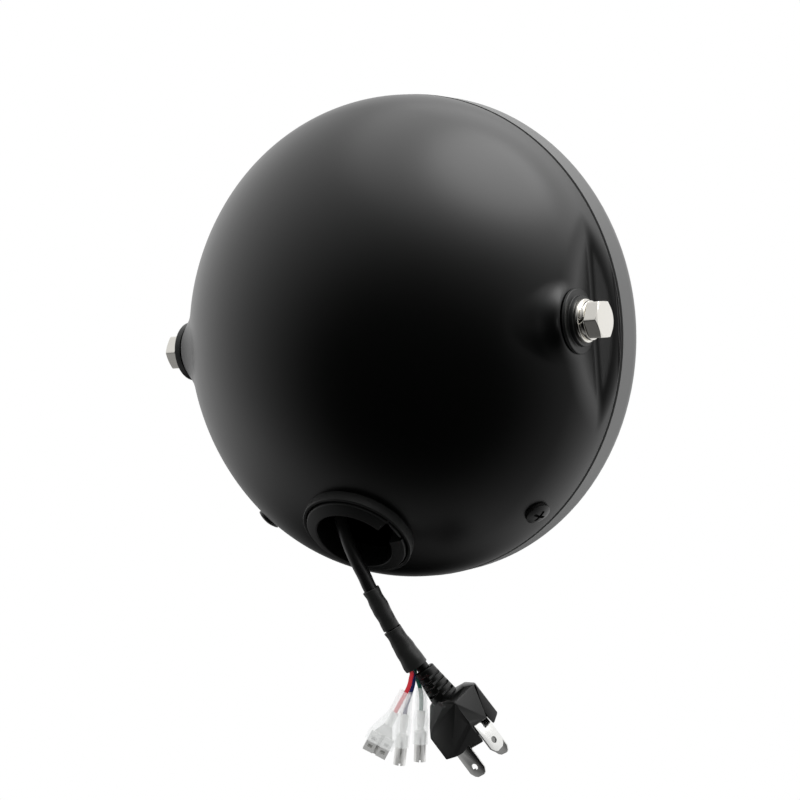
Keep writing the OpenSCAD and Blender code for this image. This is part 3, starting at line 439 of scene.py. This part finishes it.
def mouth_rows(turns):
    """Rows of the rounded lip and of the spigot that the rim goes over."""
    spigot_out, spigot_in = BUCKET_R - WALL, BUCKET_R - 2 * WALL
    end = -MOUTH_AHEAD - SPIGOT_LEN
    outline = [(BUCKET_R - LIP_ROUND * (1 - math.cos(a)), -MOUTH_AHEAD + LIP_H * (1 - math.sin(a)))
               for a in np.linspace(0.2, math.pi / 2, 9)]
    outline += [
        (spigot_out, -MOUTH_AHEAD), (spigot_out, end + SPIGOT_EASE), (spigot_out - SPIGOT_EASE, end),
        (spigot_in + SPIGOT_EASE, end), (spigot_in, end + SPIGOT_EASE),
        (spigot_in, -MOUTH_AHEAD + INNER_BACK),
    ]
    return turned_rows(outline, turns)


def make_bucket():
    even = np.arange(BUCKET_COLS) / BUCKET_COLS * 2 * math.pi
    turns = even - COL_CROWD * np.sin(2 * even)

    def polar(rows, lip_y, lip_r):
        last = math.atan2(lip_r, lip_y + SHOULDER_AHEAD)
        s = np.linspace(0, 1, rows + 1)[1:]
        return last * (s + ROW_CROWD * np.sin(math.pi * s))

    outer = skin(polar(OUTER_ROWS, -MOUTH_AHEAD + LIP_H, BUCKET_R), turns, 0)
    inner = skin(polar(INNER_ROWS, -MOUTH_AHEAD + INNER_BACK, BUCKET_R - WALL), turns, WALL)
    rows = list(outer) + mouth_rows(turns) + list(inner[::-1])
    verts = [tuple(Vector(p) * MM) for row in rows for p in row]
    faces = grid_faces(len(rows), BUCKET_COLS)
    poles = [(0, DOME_Y + DOME_R, 0), (0, DOME_Y + DOME_R - WALL, 0)]
    first, last = len(verts), len(verts) - BUCKET_COLS
    verts += [tuple(Vector(p) * MM) for p in poles]
    for k in range(BUCKET_COLS):
        faces.append((first, k, (k + 1) % BUCKET_COLS))
    for k in range(BUCKET_COLS):
        faces.append((first + 1, last + (k + 1) % BUCKET_COLS, last + k))
    bucket = link_mesh("bucket_shell", verts, faces, MATERIALS["shell_black"], sharp=50)
    cutters = [rod("hole", DOME_CENTRE, HOLE_AXIS, HOLE_R, from_h=85, to_h=120)]
    for side in (-1, 1):
        cutters.append(rod("bolt_hole", (0, 0, 0), (side, 0, 0), BOLT_HOLE_R,
                           from_h=75, to_h=100, cols=48))
        start, way = screw_axis(side)
        cutters.append(rod("screw_hole", start, way, SCREW_HOLE_R,
                           from_h=SHOULDER_R - 5, to_h=SHOULDER_R + 5, cols=48))
    combine(bucket, cutters, "DIFFERENCE")
    return settle(bucket, "shell_black", "bucket")


# Local frames of the pieces
def hang_space(p, turn):
    """Frame of a piece in the hanging plane, with its third axis along the given turn."""
    t = math.radians(turn)

    def place(q):
        return Vector(on_hang((p[0] + q[2] * math.cos(t) - q[1] * math.sin(t),
                               p[1] + q[2] * math.sin(t) + q[1] * math.cos(t),
                               (p[2] if len(p) > 2 else 0) - q[0])))
    return place


def side_space(side):
    """Outwards along the bolt axis: side is 1 on the left and -1 on the right."""
    return lambda q: Vector((q[2] * side, q[1], -q[0] * side))


def hole_space(q):
    """On the hole's axis, with the ball centre of the dome at height zero."""
    c = math.cos(HOLE_TILT)
    s = math.sin(HOLE_TILT)
    return DOME_CENTRE + Vector((q[0], -q[1] * c + q[2] * s, -q[1] * s - q[2] * c))


def turned(name, outline, place, material, cols=96, wobble=None, sharp=35):
    """Turned ring: a closed outline of (radius, height) points swept about the local axis."""
    verts = []
    for r, h in outline:
        for k in range(cols):
            turn = 2 * math.pi * k / cols
            reach = r + (wobble(turn, h) if wobble else 0)
            verts.append(place((reach * math.cos(turn), reach * math.sin(turn), h)) * MM)
    rows = len(outline)
    faces = []
    for i in range(rows):
        here, after = i * cols, (i + 1) % rows * cols
        for k in range(cols):
            beside = (k + 1) % cols
            faces.append((here + k, after + k, after + beside, here + beside))
    return link_mesh(name, verts, faces, material, sharp)


def block(name, points, place, material, bevel=0.0):
    """Convex solid round the given local points, with its edges rounded off when a bevel is given."""
    form = bmesh.new()
    for q in points:
        form.verts.new(place(q) * MM)
    bmesh.ops.convex_hull(form, input=form.verts)
    loose = [v for v in form.verts if not v.link_faces]
    bmesh.ops.delete(form, geom=loose, context="VERTS")
    bmesh.ops.dissolve_limit(form, angle_limit=math.radians(1), verts=form.verts, edges=form.edges)
    if bevel:
        bmesh.ops.bevel(form, geom=list(form.edges), offset=bevel * MM, offset_type="OFFSET",
                        segments=2, profile=0.5, affect="EDGES", clamp_overlap=True)
    bmesh.ops.recalc_face_normals(form, faces=form.faces)
    mesh = bpy.data.meshes.new(name)
    form.to_mesh(mesh)
    form.free()
    mesh.materials.append(material)
    shade(mesh, 40)
    return add_object(name, mesh)


def box_points(x, y, z):
    return [(a, b, c) for a in x for b in y for c in z]


# Side hardware, from the boss face outwards
PAD_R, PAD_FLANGE, COLLAR_R, COLLAR_H, BORE_R = 11.9, 1.2, 9.2, 1.6, BOLT_HOLE_R
WASHER_R, WASHER_T, SPRING_R, SPRING_T, HEAD_AF, HEAD_H = 8, 1.5, 7.2, 1.8, 13, 5.2
SPLIT_LEAN, SPLIT_ASIDE = 0.7, 0.6
BOLT_R, BOLT_LEN = 4, 25
HEAD_COLS, CHAMFER_IN, CHAMFER_SLOPE, CORNER_EASE = 144, 0.25, 0.42, 0.0525
FOOT_EASE, FOOT_RISE, END_EASE, END_DROP = 0.25, 0.2, 0.14, 0.12
FACE_OUT, FACE_IN = 0.1, 0.15


def hex_r(turn):
    """Radius of the bolt's head, with flats above and below and with eased corners."""
    phase = (turn + math.pi / 6) % (math.pi / 3) - math.pi / 6
    corner_r = HEAD_AF / 2 / math.cos(math.pi / 6) - CORNER_EASE
    return min(HEAD_AF / 2 / math.cos(phase), corner_r)


def make_bolt(side, name, at):
    """Hexagon head with a chamfered end, on a plain shank."""
    place = side_space(side)
    top_r = HEAD_AF / 2 - CHAMFER_IN
    turns = [2 * math.pi * k / HEAD_COLS for k in range(HEAD_COLS)]

    def chamfer_h(r):
        return at + HEAD_H - max(0, r - top_r) * CHAMFER_SLOPE

    rows = [[(BOLT_R, at - BOLT_LEN) for t in turns], [(BOLT_R, at) for t in turns]]
    rows.append([(hex_r(t) - FOOT_EASE, at) for t in turns])
    rows.append([(hex_r(t), at + FOOT_RISE) for t in turns])
    rows.append([(hex_r(t), chamfer_h(hex_r(t)) - END_DROP) for t in turns])
    rows.append([(hex_r(t) - END_EASE, chamfer_h(hex_r(t) - END_EASE)) for t in turns])
    rows.append([(top_r + FACE_OUT, chamfer_h(top_r + FACE_OUT)) for t in turns])
    rows.append([(top_r - FACE_IN, at + HEAD_H) for t in turns])
    verts = []
    for row in rows:
        verts += [place((r * math.cos(t), r * math.sin(t), h)) * MM for (r, h), t in zip(row, turns)]
    count = len(verts)
    faces = grid_faces(len(rows), HEAD_COLS)
    faces += [tuple(range(HEAD_COLS)), tuple(range(count - 1, count - HEAD_COLS - 1, -1))]
    bolt = link_mesh(name + "_visual", verts, faces, MATERIALS["bright_nickel"], sharp=12)
    return settle(bolt, "bright_nickel", name)


def make_side(side, word, flange_h):
    """Pad, flat washer, split spring washer and bolt on one boss."""
    place = side_space(side)
    nickel = MATERIALS["bright_nickel"]
    flange, collar = BOSS_X + flange_h, BOSS_X + PAD_FLANGE + COLLAR_H
    washer = collar + WASHER_T
    head = washer + SPRING_T
    coil_end = head - 0.02
    pad = rounded([(BORE_R, BOSS_X, 0), (PAD_R, BOSS_X, 0), (PAD_R, flange, 0.4), (COLLAR_R, flange, 0.3),
                   (COLLAR_R, collar, 0.1), (BORE_R, collar, 0)])
    flat = rounded([(BORE_R, collar, 0.1), (WASHER_R, collar, 0.25), (WASHER_R, washer, 0.45),
                    (BORE_R, washer, 0.1)])
    split = rounded([(BORE_R, washer, 0.1), (SPRING_R, washer, 0.35), (SPRING_R, coil_end, 0.35),
                     (BORE_R, coil_end, 0.1)])
    spacer = turned(word + "_spacer", pad, place, MATERIALS["pad_black"])
    settle(spacer, "pad_black", word + "_pad")
    disc = turned(word + "_disc", flat, place, nickel)
    settle(disc, "bright_nickel", word + "_flat_washer")
    coil = turned(word + "_coil", split, place, nickel)

    def leaning(q):
        return place((q[0] + (q[2] - washer) * SPLIT_LEAN - SPLIT_ASIDE, q[1], q[2]))

    split_gap = block("gap", box_points((-0.5, 0.5), (2, 9), (washer - 1, head + 1)), leaning, nickel)
    combine(coil, [split_gap], "DIFFERENCE")
    settle(coil, "bright_nickel", word + "_spring_washer")
    make_bolt(side, word + "_bolt", head)


# Grommet: a turned form as in part.scad, with its edges eased and a notch
GROMMET_BORE_R, GROMMET_R, GROMMET_RIDGE, GROMMET_LIP = 14.8, 21.4, 4.1, 2.6
GROMMET_FLANGE, GROMMET_DEPTH, NECK_CLEAR = 2.4, 4.5, 0.05
GROOVE_AT, GROOVE_DEPTH = 1.3, 1.4
NOTCH_TURN, NOTCH_W, NOTCH_LOW = math.radians(190), 7.5, 1.2


def make_grommet():
    rubber = MATERIALS["grommet_rubber"]
    flange, neck = HOLE_R + GROMMET_FLANGE, HOLE_R - NECK_CLEAR
    edge = math.sqrt(DOME_R ** 2 - GROMMET_R ** 2)
    ridge = edge + GROMMET_RIDGE
    lip = ridge + GROMMET_LIP
    groove = GROMMET_R - GROOVE_AT
    bed = ridge - GROOVE_DEPTH
    back = DOME_R - WALL - GROMMET_DEPTH
    inside = math.sqrt((DOME_R - WALL) ** 2 - flange ** 2)
    outline = rounded([
        (GROMMET_BORE_R, back, 0.4), (flange, back, 0.5), (flange, inside, 0), (neck, inside + 0.5, 0),
        (neck, edge + 0.6, 0), (GROMMET_R, edge + 0.02, 0), (GROMMET_R, ridge, 0.55),
        (groove, ridge, 0.45), (groove - 0.05, bed, 0.15), (groove - 0.35, bed, 0.15),
        (groove - 0.6, ridge + 0.9, 0.5), (GROMMET_BORE_R, lip + 0.1, 0.7)], steps=5)
    ring = turned("grommet_ring", outline, hole_space, rubber, cols=144, sharp=50)
    half = math.asin(NOTCH_W / 2 / GROMMET_BORE_R)
    corners = [(2, 0), (groove - 0.3, -half), (groove - 0.3, half)]
    points = [(r * math.cos(NOTCH_TURN + a), r * math.sin(NOTCH_TURN + a), h)
              for h in (edge + NOTCH_LOW, lip + 5) for r, a in corners]
    combine(ring, [block("wedge", points, hole_space, rubber)], "DIFFERENCE")
    shade(ring.data, 50)
    settle(soften(ring, width=0.3, angle=50), "grommet_rubber", "cable_grommet")


# Sleeves: shrunk tubes that are never quite even
SLEEVE_R, LOWER_SLEEVE_R, SLEEVE_BORE_R = 3.2, 4.5, LEAD_D / 2 + 0.05
UPPER_EXTRA, LOWER_EXTRA = 0.8, 0.4


def uneven(turn, h):
    return 0.09 * math.sin(2 * turn + h * 0.7) + 0.06 * math.sin(3 * turn - h * 1.3)


def make_sleeves():
    end = UPPER_LEN + UPPER_EXTRA
    upper = rounded([
        (SLEEVE_BORE_R, 0, 0), (SLEEVE_R + 0.1, 0, 0.3), (SLEEVE_R + 0.1, 1.4, 0.5),
        (SLEEVE_R - 0.1, 3, 0.9), (SLEEVE_R + 0.1, 6, 1), (SLEEVE_R + 0.15, 10, 1),
        (SLEEVE_R, 13, 0.8), (SLEEVE_R, end, 0.3), (SLEEVE_BORE_R, end, 0)])
    lower = rounded([
        (SLEEVE_BORE_R, -LOWER_EXTRA, 0), (SLEEVE_R + 0.3, -LOWER_EXTRA, 0.35),
        (SLEEVE_R + 0.25, 1.6, 0.6), (SLEEVE_R + 0.3, 4, 1), (LOWER_SLEEVE_R - 0.4, 9.5, 2),
        (LOWER_SLEEVE_R, LOWER_LEN - 2, 1), (LOWER_SLEEVE_R - 0.1, LOWER_LEN, 0.4),
        (3.3, LOWER_LEN - 0.4, 0.3), (2.9, LOWER_LEN - 5, 0.3), (SLEEVE_BORE_R, LEAD_IN_SLEEVE, 0)])
    made = []
    for word, outline, start, turn in (("upper", upper, UPPER_FROM, UPPER_TURN),
                                       ("lower", lower, LOWER_FROM, LOWER_TURN)):
        sleeve = turned("shrink_" + word, outline, hang_space(start, turn),
                        MATERIALS["shrink_black"], cols=64, wobble=uneven, sharp=50)
        made.append(settle(sleeve, "shrink_black", word + "_sleeve"))
    return made


# Plug and its strain relief
RELIEF_LEN, RELIEF_TOP_R, RELIEF_FOOT_R, NECK_R, NECK_LEN = 13, 3.9, 5.2, 2.4, 7
GROOVE_ROWS, GROOVE_FROM, GROOVE_STEP, GROOVE_W, GROOVE_BED = 4, 1.7, 2.5, 1.0, 2.9


def plug_space():
    """Frame whose axes are sideways, near and along the plug, as the photo shows it."""
    inner = hang_space(PLUG_FROM, PLUG_TURN)
    return lambda q: inner((-q[1], q[0], q[2]))


def quarter(place, turn):
    """The given frame, turned about its third axis."""
    a = math.radians(turn)
    return lambda q: place((q[0] * math.cos(a) - q[1] * math.sin(a),
                            q[0] * math.sin(a) + q[1] * math.cos(a), q[2]))


def make_relief():
    place = hang_space(PLUG_FROM, PLUG_TURN)
    black = MATERIALS["plug_black"]
    top = -RELIEF_LEN
    outline = rounded([
        (0.3, top - NECK_LEN, 0), (NECK_R, top - NECK_LEN, 0.3), (NECK_R, top - 0.2, 0),
        (RELIEF_TOP_R, top, 0.5), (RELIEF_TOP_R + 0.1, top + 1.4, 0), (RELIEF_FOOT_R, -1.2, 0.8),
        (RELIEF_FOOT_R + 0.3, 0.6, 0.3), (0.3, 0.6, 0)])
    body = turned("relief_body", outline, place, black, cols=72, sharp=50)
    grooves = []
    for row in range(GROOVE_ROWS):
        for turn in (0, 90, 180, 270):
            # neighbouring sides are half a step apart
            low = top + GROOVE_FROM + GROOVE_STEP * (row + (turn % 180) / 180)
            bar = box_points((GROOVE_BED, 9), (-3.4, 3.4), (low, low + GROOVE_W))
            grooves.append(block("groove", bar, quarter(place, 45 + turn), black))
    combine(body, grooves, "DIFFERENCE")
    return settle(soften(body, width=0.14, angle=40), "plug_black", "strain_relief")


# Corners of the plug's convex parts: sideways, near and along the plug
PLUG_LEFT = [
    (2.5, 12.6, 1.9), (2.5, 12.6, 10.6), (-9.3, 0.9, 17.4), (-10.1, 0.0, 20.2), (-13.9, -3.8, 19.6),
    (-13.9, -3.8, 9.7), (-11.6, -2.5, 6.0), (-10.6, -0.4, 6.4), (-2.7, 7.2, 1.5), (-7.6, -2, 2.0),
    (-6.6, -3, -0.4), (-3.6, 3, -1.4), (1.9, 11.2, 12.8), (1.9, 5.2, 20.8), (-3.5, 0.4, 21.0),
    (0, -12, 2), (0, -12, 19.5), (1.5, -11, 20), (-13, -6.5, 10), (-13, -6.5, 19.4), (3, 8, 0),
    (3, -9, 0), (-5, -8, -0.5),
]
PLUG_RIGHT = [
    (2.5, 12.6, 1.9), (2.0, 12.2, 12.8), (11.4, 3.8, 2.1), (8.3, 6.8, 14.2), (8.2, 5.7, 0.2),
    (1, 10, -0.2), (11.9, 2.0, 2.2), (11.9, -4.5, 3), (8.3, 5.5, 14.6), (2, -11, 1), (2, -11.5, 14),
    (8.3, -6, 14.6), (9, -7, 1), (8, 2.5, -0.4), (-2, 8, -0.4), (0, -8, 0),
]
PLUG_WALL = [
    (8.8, 6.3, 12), (8.9, 6.2, 17.8), (12.4, 2.9, 15.9), (12.1, 3.1, 2.3), (11.9, -4.5, 3),
    (11.9, -4.5, 15.6), (10.9, -4.2, 16.4), (10.3, 2.2, 17), (8.0, 4.9, 12),
]
PLUG_NOSE = [
    (1.9, 11.2, 12.8), (1.9, 5.2, 20.8), (-9.3, 0.9, 17.4), (-3.5, 0.4, 21.0), (1.5, -11, 20),
    (-9, -8, 19), (0, 5, 3), (-8, -8, 4), (1.6, -11, 5),
]


def make_plug():
    place = plug_space()
    black = MATERIALS["plug_black"]
    left = block("plug_left", PLUG_LEFT, place, black, bevel=0.3)
    right = block("plug_right", PLUG_RIGHT, place, black, bevel=0.3)
    wall = block("plug_wall", PLUG_WALL, place, black, bevel=0.3)
    nose = block("plug_nose", PLUG_NOSE, place, black, bevel=0.25)
    combine(right, [left, wall, nose], "UNION")
    shade(right.data, 40)
    return settle(right, "plug_black", "plug_body")


BLADE_HALF_W, BLADE_HALF_T, BLADE_HOLE_R, BLADE_HOLE_BACK = 3.9, 0.4, 1.25, 4.1


def make_blade(name, s, n, turn, root, tip):
    """Blade whose middle is at the given place and whose face is turned from the viewer."""
    place = plug_space()
    a = math.radians(turn)

    def flat(q):
        return place((s + q[0] * math.cos(a) - q[1] * math.sin(a),
                      n + q[0] * math.sin(a) + q[1] * math.cos(a), q[2]))

    w = BLADE_HALF_W
    outline = [(-w, root), (w, root), (w, tip - 2.4), (w - 1.1, tip - 0.7), (w - 2.3, tip),
               (-w + 2.3, tip), (-w + 1.1, tip - 0.7), (-w, tip - 2.4)]
    points = [(x, y, z) for x, z in outline for y in (-BLADE_HALF_T, BLADE_HALF_T)]
    blade = block(name, points, flat, MATERIALS["tin_plate"], bevel=0.14)
    hole = []
    for k in range(24):
        t = 2 * math.pi * k / 24
        along = tip - BLADE_HOLE_BACK + BLADE_HOLE_R * math.sin(t)
        hole += [(BLADE_HOLE_R * math.cos(t), y, along) for y in (-2, 2)]
    combine(blade, [block("hole", hole, flat, MATERIALS["tin_plate"])], "DIFFERENCE")
    return blade


def make_blades():
    first = make_blade("blade_near", 5.2, 5.1, turn=-45, root=9, tip=26.6)
    second = make_blade("blade_left", -6.3, 1.4, turn=38, root=12, tip=31.1)
    third = make_blade("blade_far", 4.9, -6.6, turn=45, root=9, tip=31.2)
    for other in (second, third):
        join(first, other)
    return settle(soften(first, width=0.1), "tin_plate", "plug_blades")


def join(obj, other):
    """Put the other object's mesh into the first one."""
    form = bmesh.new()
    form.from_mesh(obj.data)
    form.from_mesh(other.data)
    form.to_mesh(obj.data)
    form.free()
    bpy.data.objects.remove(other)
    obj.data.set_sharp_from_angle(angle=math.radians(35))


# Studio
WORLD_LIGHT = 0.75
FLOOR_SIZE, FLOOR_DROP = 6.0, 1.45


def seen_by_eye(nodes, links):
    """1 on camera, glossy and transmission rays, and 0 on the rays that light the object."""
    path = nodes.new("ShaderNodeLightPath")
    seen = path.outputs["Is Camera Ray"]
    for kind in ("Is Glossy Ray", "Is Transmission Ray"):
        either = nodes.new("ShaderNodeMath")
        either.operation = "MAXIMUM"
        links.new(seen, either.inputs[0])
        links.new(path.outputs[kind], either.inputs[1])
        seen = either.outputs[0]
    return seen


def make_world():
    world = bpy.data.worlds.new("studio")
    bpy.context.scene.world = world
    world.use_nodes = True
    nodes, links = world.node_tree.nodes, world.node_tree.links
    lit, seen_white = nodes["Background"], nodes.new("ShaderNodeBackground")
    lit.inputs["Color"].default_value = (1, 1, 1, 1)
    lit.inputs["Strength"].default_value = WORLD_LIGHT
    seen_white.inputs["Color"].default_value = (1, 1, 1, 1)
    mix = nodes.new("ShaderNodeMixShader")
    links.new(seen_by_eye(nodes, links), mix.inputs["Fac"])
    links.new(lit.outputs["Background"], mix.inputs[1])
    links.new(seen_white.outputs["Background"], mix.inputs[2])
    links.new(mix.outputs["Shader"], nodes["World Output"].inputs["Surface"])
    world.cycles.sampling_method = "NONE"


def make_floor():
    corners = [(x * FLOOR_SIZE, y * FLOOR_SIZE, -FLOOR_DROP) for x, y in ((-1, -1), (1, -1), (1, 1), (-1, 1))]
    mesh = bpy.data.meshes.new("floor")
    mesh.from_pydata(corners, [], [(0, 1, 2, 3)])
    floor = add_object("floor", mesh)
    material, shader = new_material("floor", (0.9, 0.9, 0.9), 0.9)
    nodes, links = material.node_tree.nodes, material.node_tree.links
    white = nodes.new("ShaderNodeEmission")
    mix = nodes.new("ShaderNodeMixShader")
    links.new(seen_by_eye(nodes, links), mix.inputs["Fac"])
    links.new(shader.outputs["BSDF"], mix.inputs[1])
    links.new(white.outputs["Emission"], mix.inputs[2])
    links.new(mix.outputs["Shader"], nodes["Material Output"].inputs["Surface"])
    mesh.materials.append(material)


def camera_way(angle, turn):
    """Direction at an angle from the line to the camera, turned from the picture's right."""
    right, up, back = camera_axes()
    a, t = math.radians(angle), math.radians(turn)
    return back * math.cos(a) + (right * math.cos(t) + up * math.sin(t)) * math.sin(a)


def card_material(name, full, clear):
    """Black where the angle from the card's own axis is small, and clear past the second angle."""
    material = bpy.data.materials.new(name)
    material.use_nodes = True
    nodes, links = material.node_tree.nodes, material.node_tree.links
    nodes.clear()
    place = nodes.new("ShaderNodeTexCoord")
    unit = nodes.new("ShaderNodeVectorMath")
    unit.operation = "NORMALIZE"
    split = nodes.new("ShaderNodeSeparateXYZ")
    angle = nodes.new("ShaderNodeMath")
    angle.operation = "ARCCOSINE"
    fade = nodes.new("ShaderNodeMapRange")
    fade.interpolation_type = "SMOOTHSTEP"
    fade.inputs["From Min"].default_value = math.radians(full)
    fade.inputs["From Max"].default_value = math.radians(clear)
    black = nodes.new("ShaderNodeBsdfDiffuse")
    black.inputs["Color"].default_value = (0, 0, 0, 1)
    through = nodes.new("ShaderNodeBsdfTransparent")
    mix = nodes.new("ShaderNodeMixShader")
    out = nodes.new("ShaderNodeOutputMaterial")
    links.new(place.outputs["Object"], unit.inputs[0])
    links.new(unit.outputs["Vector"], split.inputs["Vector"])
    links.new(split.outputs["Z"], angle.inputs[0])
    links.new(angle.outputs["Value"], fade.inputs["Value"])
    links.new(fade.outputs["Result"], mix.inputs["Fac"])
    links.new(black.outputs["BSDF"], mix.inputs[1])
    links.new(through.outputs["BSDF"], mix.inputs[2])
    links.new(mix.outputs["Shader"], out.inputs["Surface"])
    return material


def soft_card(name, angle, turn, full, clear, radius):
    """Part of a ball round the object: a dark card with a soft edge that reflections show."""
    rings, spokes = 24, 64
    verts = [(0, 0, radius)]
    for i in range(1, rings + 1):
        down = math.radians(clear + 1) * i / rings
        verts += [(radius * math.sin(down) * math.cos(2 * math.pi * k / spokes),
                   radius * math.sin(down) * math.sin(2 * math.pi * k / spokes),
                   radius * math.cos(down)) for k in range(spokes)]
    faces = [(0, 1 + k, 1 + (k + 1) % spokes) for k in range(spokes)]
    faces += grid_faces(rings, spokes, first=1)
    mesh = bpy.data.meshes.new(name)
    mesh.from_pydata(verts, [], faces)
    mesh.shade_smooth()
    mesh.materials.append(card_material(name, full, clear))
    card = add_object(name, mesh)
    card.rotation_euler = camera_way(angle, turn).to_track_quat("Z", "Y").to_euler()
    card.visible_camera = False
    card.visible_diffuse = False
    card.visible_shadow = False


def soft_box(name, angle, turn, half, strength, distance=1.1):
    """Round soft box that covers the given half angle, seen from the object."""
    data = bpy.data.lights.new(name, "AREA")
    data.shape = "DISK"
    data.size = 2 * distance * math.tan(math.radians(half))
    data.energy = strength * math.pi * math.pi * (data.size / 2) ** 2
    light = add_object(name, data)
    place = camera_way(angle, turn) * distance
    light.location = place
    light.rotation_euler = (-place).to_track_quat("-Z", "Y").to_euler()
    light.visible_camera = False
    return light


def wall_beam(side, reach=0.16, size=(0.022, 0.09), spread=30, energy=0.0009):
    """Narrow soft light along the way in which the flat's front wall mirrors the camera."""
    view = camera_axes()[2]
    normal = Vector((side * math.sin(FLAT_WALL_ANGLE), math.cos(FLAT_WALL_ANGLE), 0))
    way = 2 * normal.dot(view) * normal - view
    # the wall's middle lies this far out from the boss face and ahead of the flat
    out, on = 4, 3.5
    target = Vector((side * (BOSS_X + out), -FLAT_AHEAD - on, 0)) * MM
    data = bpy.data.lights.new("wall_beam", "AREA")
    data.shape = "RECTANGLE"
    data.size, data.size_y = size
    data.spread = math.radians(spread)
    data.energy = energy
    light = add_object("wall_beam", data)
    light.location = target + way * reach
    light.rotation_euler = (-way).to_track_quat("-Z", "Y").to_euler()
    light.visible_camera = False
    light.visible_diffuse = False


def make_studio():
    """White room with two dark cards, a key, a fill and the light on the right flat's wall."""
    make_world()
    make_floor()
    soft_card("front_card", angle=24.6, turn=-122, full=37.6, clear=117.6, radius=1.3)
    soft_card("low_card", angle=131, turn=-100, full=12, clear=53.6, radius=1.2)
    key = soft_box("key", angle=79, turn=71, half=22.9, strength=2.6)
    key.visible_diffuse = False
    soft_box("fill", angle=86, turn=73.4, half=45.5, strength=1.13)
    wall_beam(-1)
    bpy.context.scene.view_settings.view_transform = "Standard"


def add_cords():
    tail = [on_hang(ahead(UPPER_FROM, UPPER_TURN, d)) for d in (-1, UPPER_LEN / 2, UPPER_LEN)]
    tail += [on_hang(ahead(LOWER_FROM, LOWER_TURN, d)) for d in (0, LEAD_IN_SLEEVE)]
    route = smooth_route(LEAD_ROUTE + tail)
    jacket = cord_curve("lead_jacket", route, LEAD_D * MM, MATERIALS["jacket_black"])
    lead = settle(jacket, "jacket_black", "lead")
    far = make_sleeves() + [make_relief(), make_plug(), make_blades()]
    for name, wire in WIRES.items():
        points = [wire_mouth(wire["hole"], back) for back in WIRE_DEPTHS]
        points += [on_hang(p) for p in wire["way"]]
        points += [on_hang(ahead(wire["end"], wire["turn"], d)) for d in (-wire["lead_in"], WIRE_IN_CRIMP)]
        route = smooth_route(points)
        slot = "wire_" + name
        insulation = cord_curve(name + "_insulation", route, WIRE_D * MM, MATERIALS[slot])
        piece = settle(insulation, slot, name + "_wire")


make_camera()
add_cords()
dress_nodes()
make_bucket()
# The photo's left pad shows no step
make_side(1, "left", PAD_FLANGE + COLLAR_H - 0.1)
make_side(-1, "right", PAD_FLANGE)
make_grommet()
make_studio()
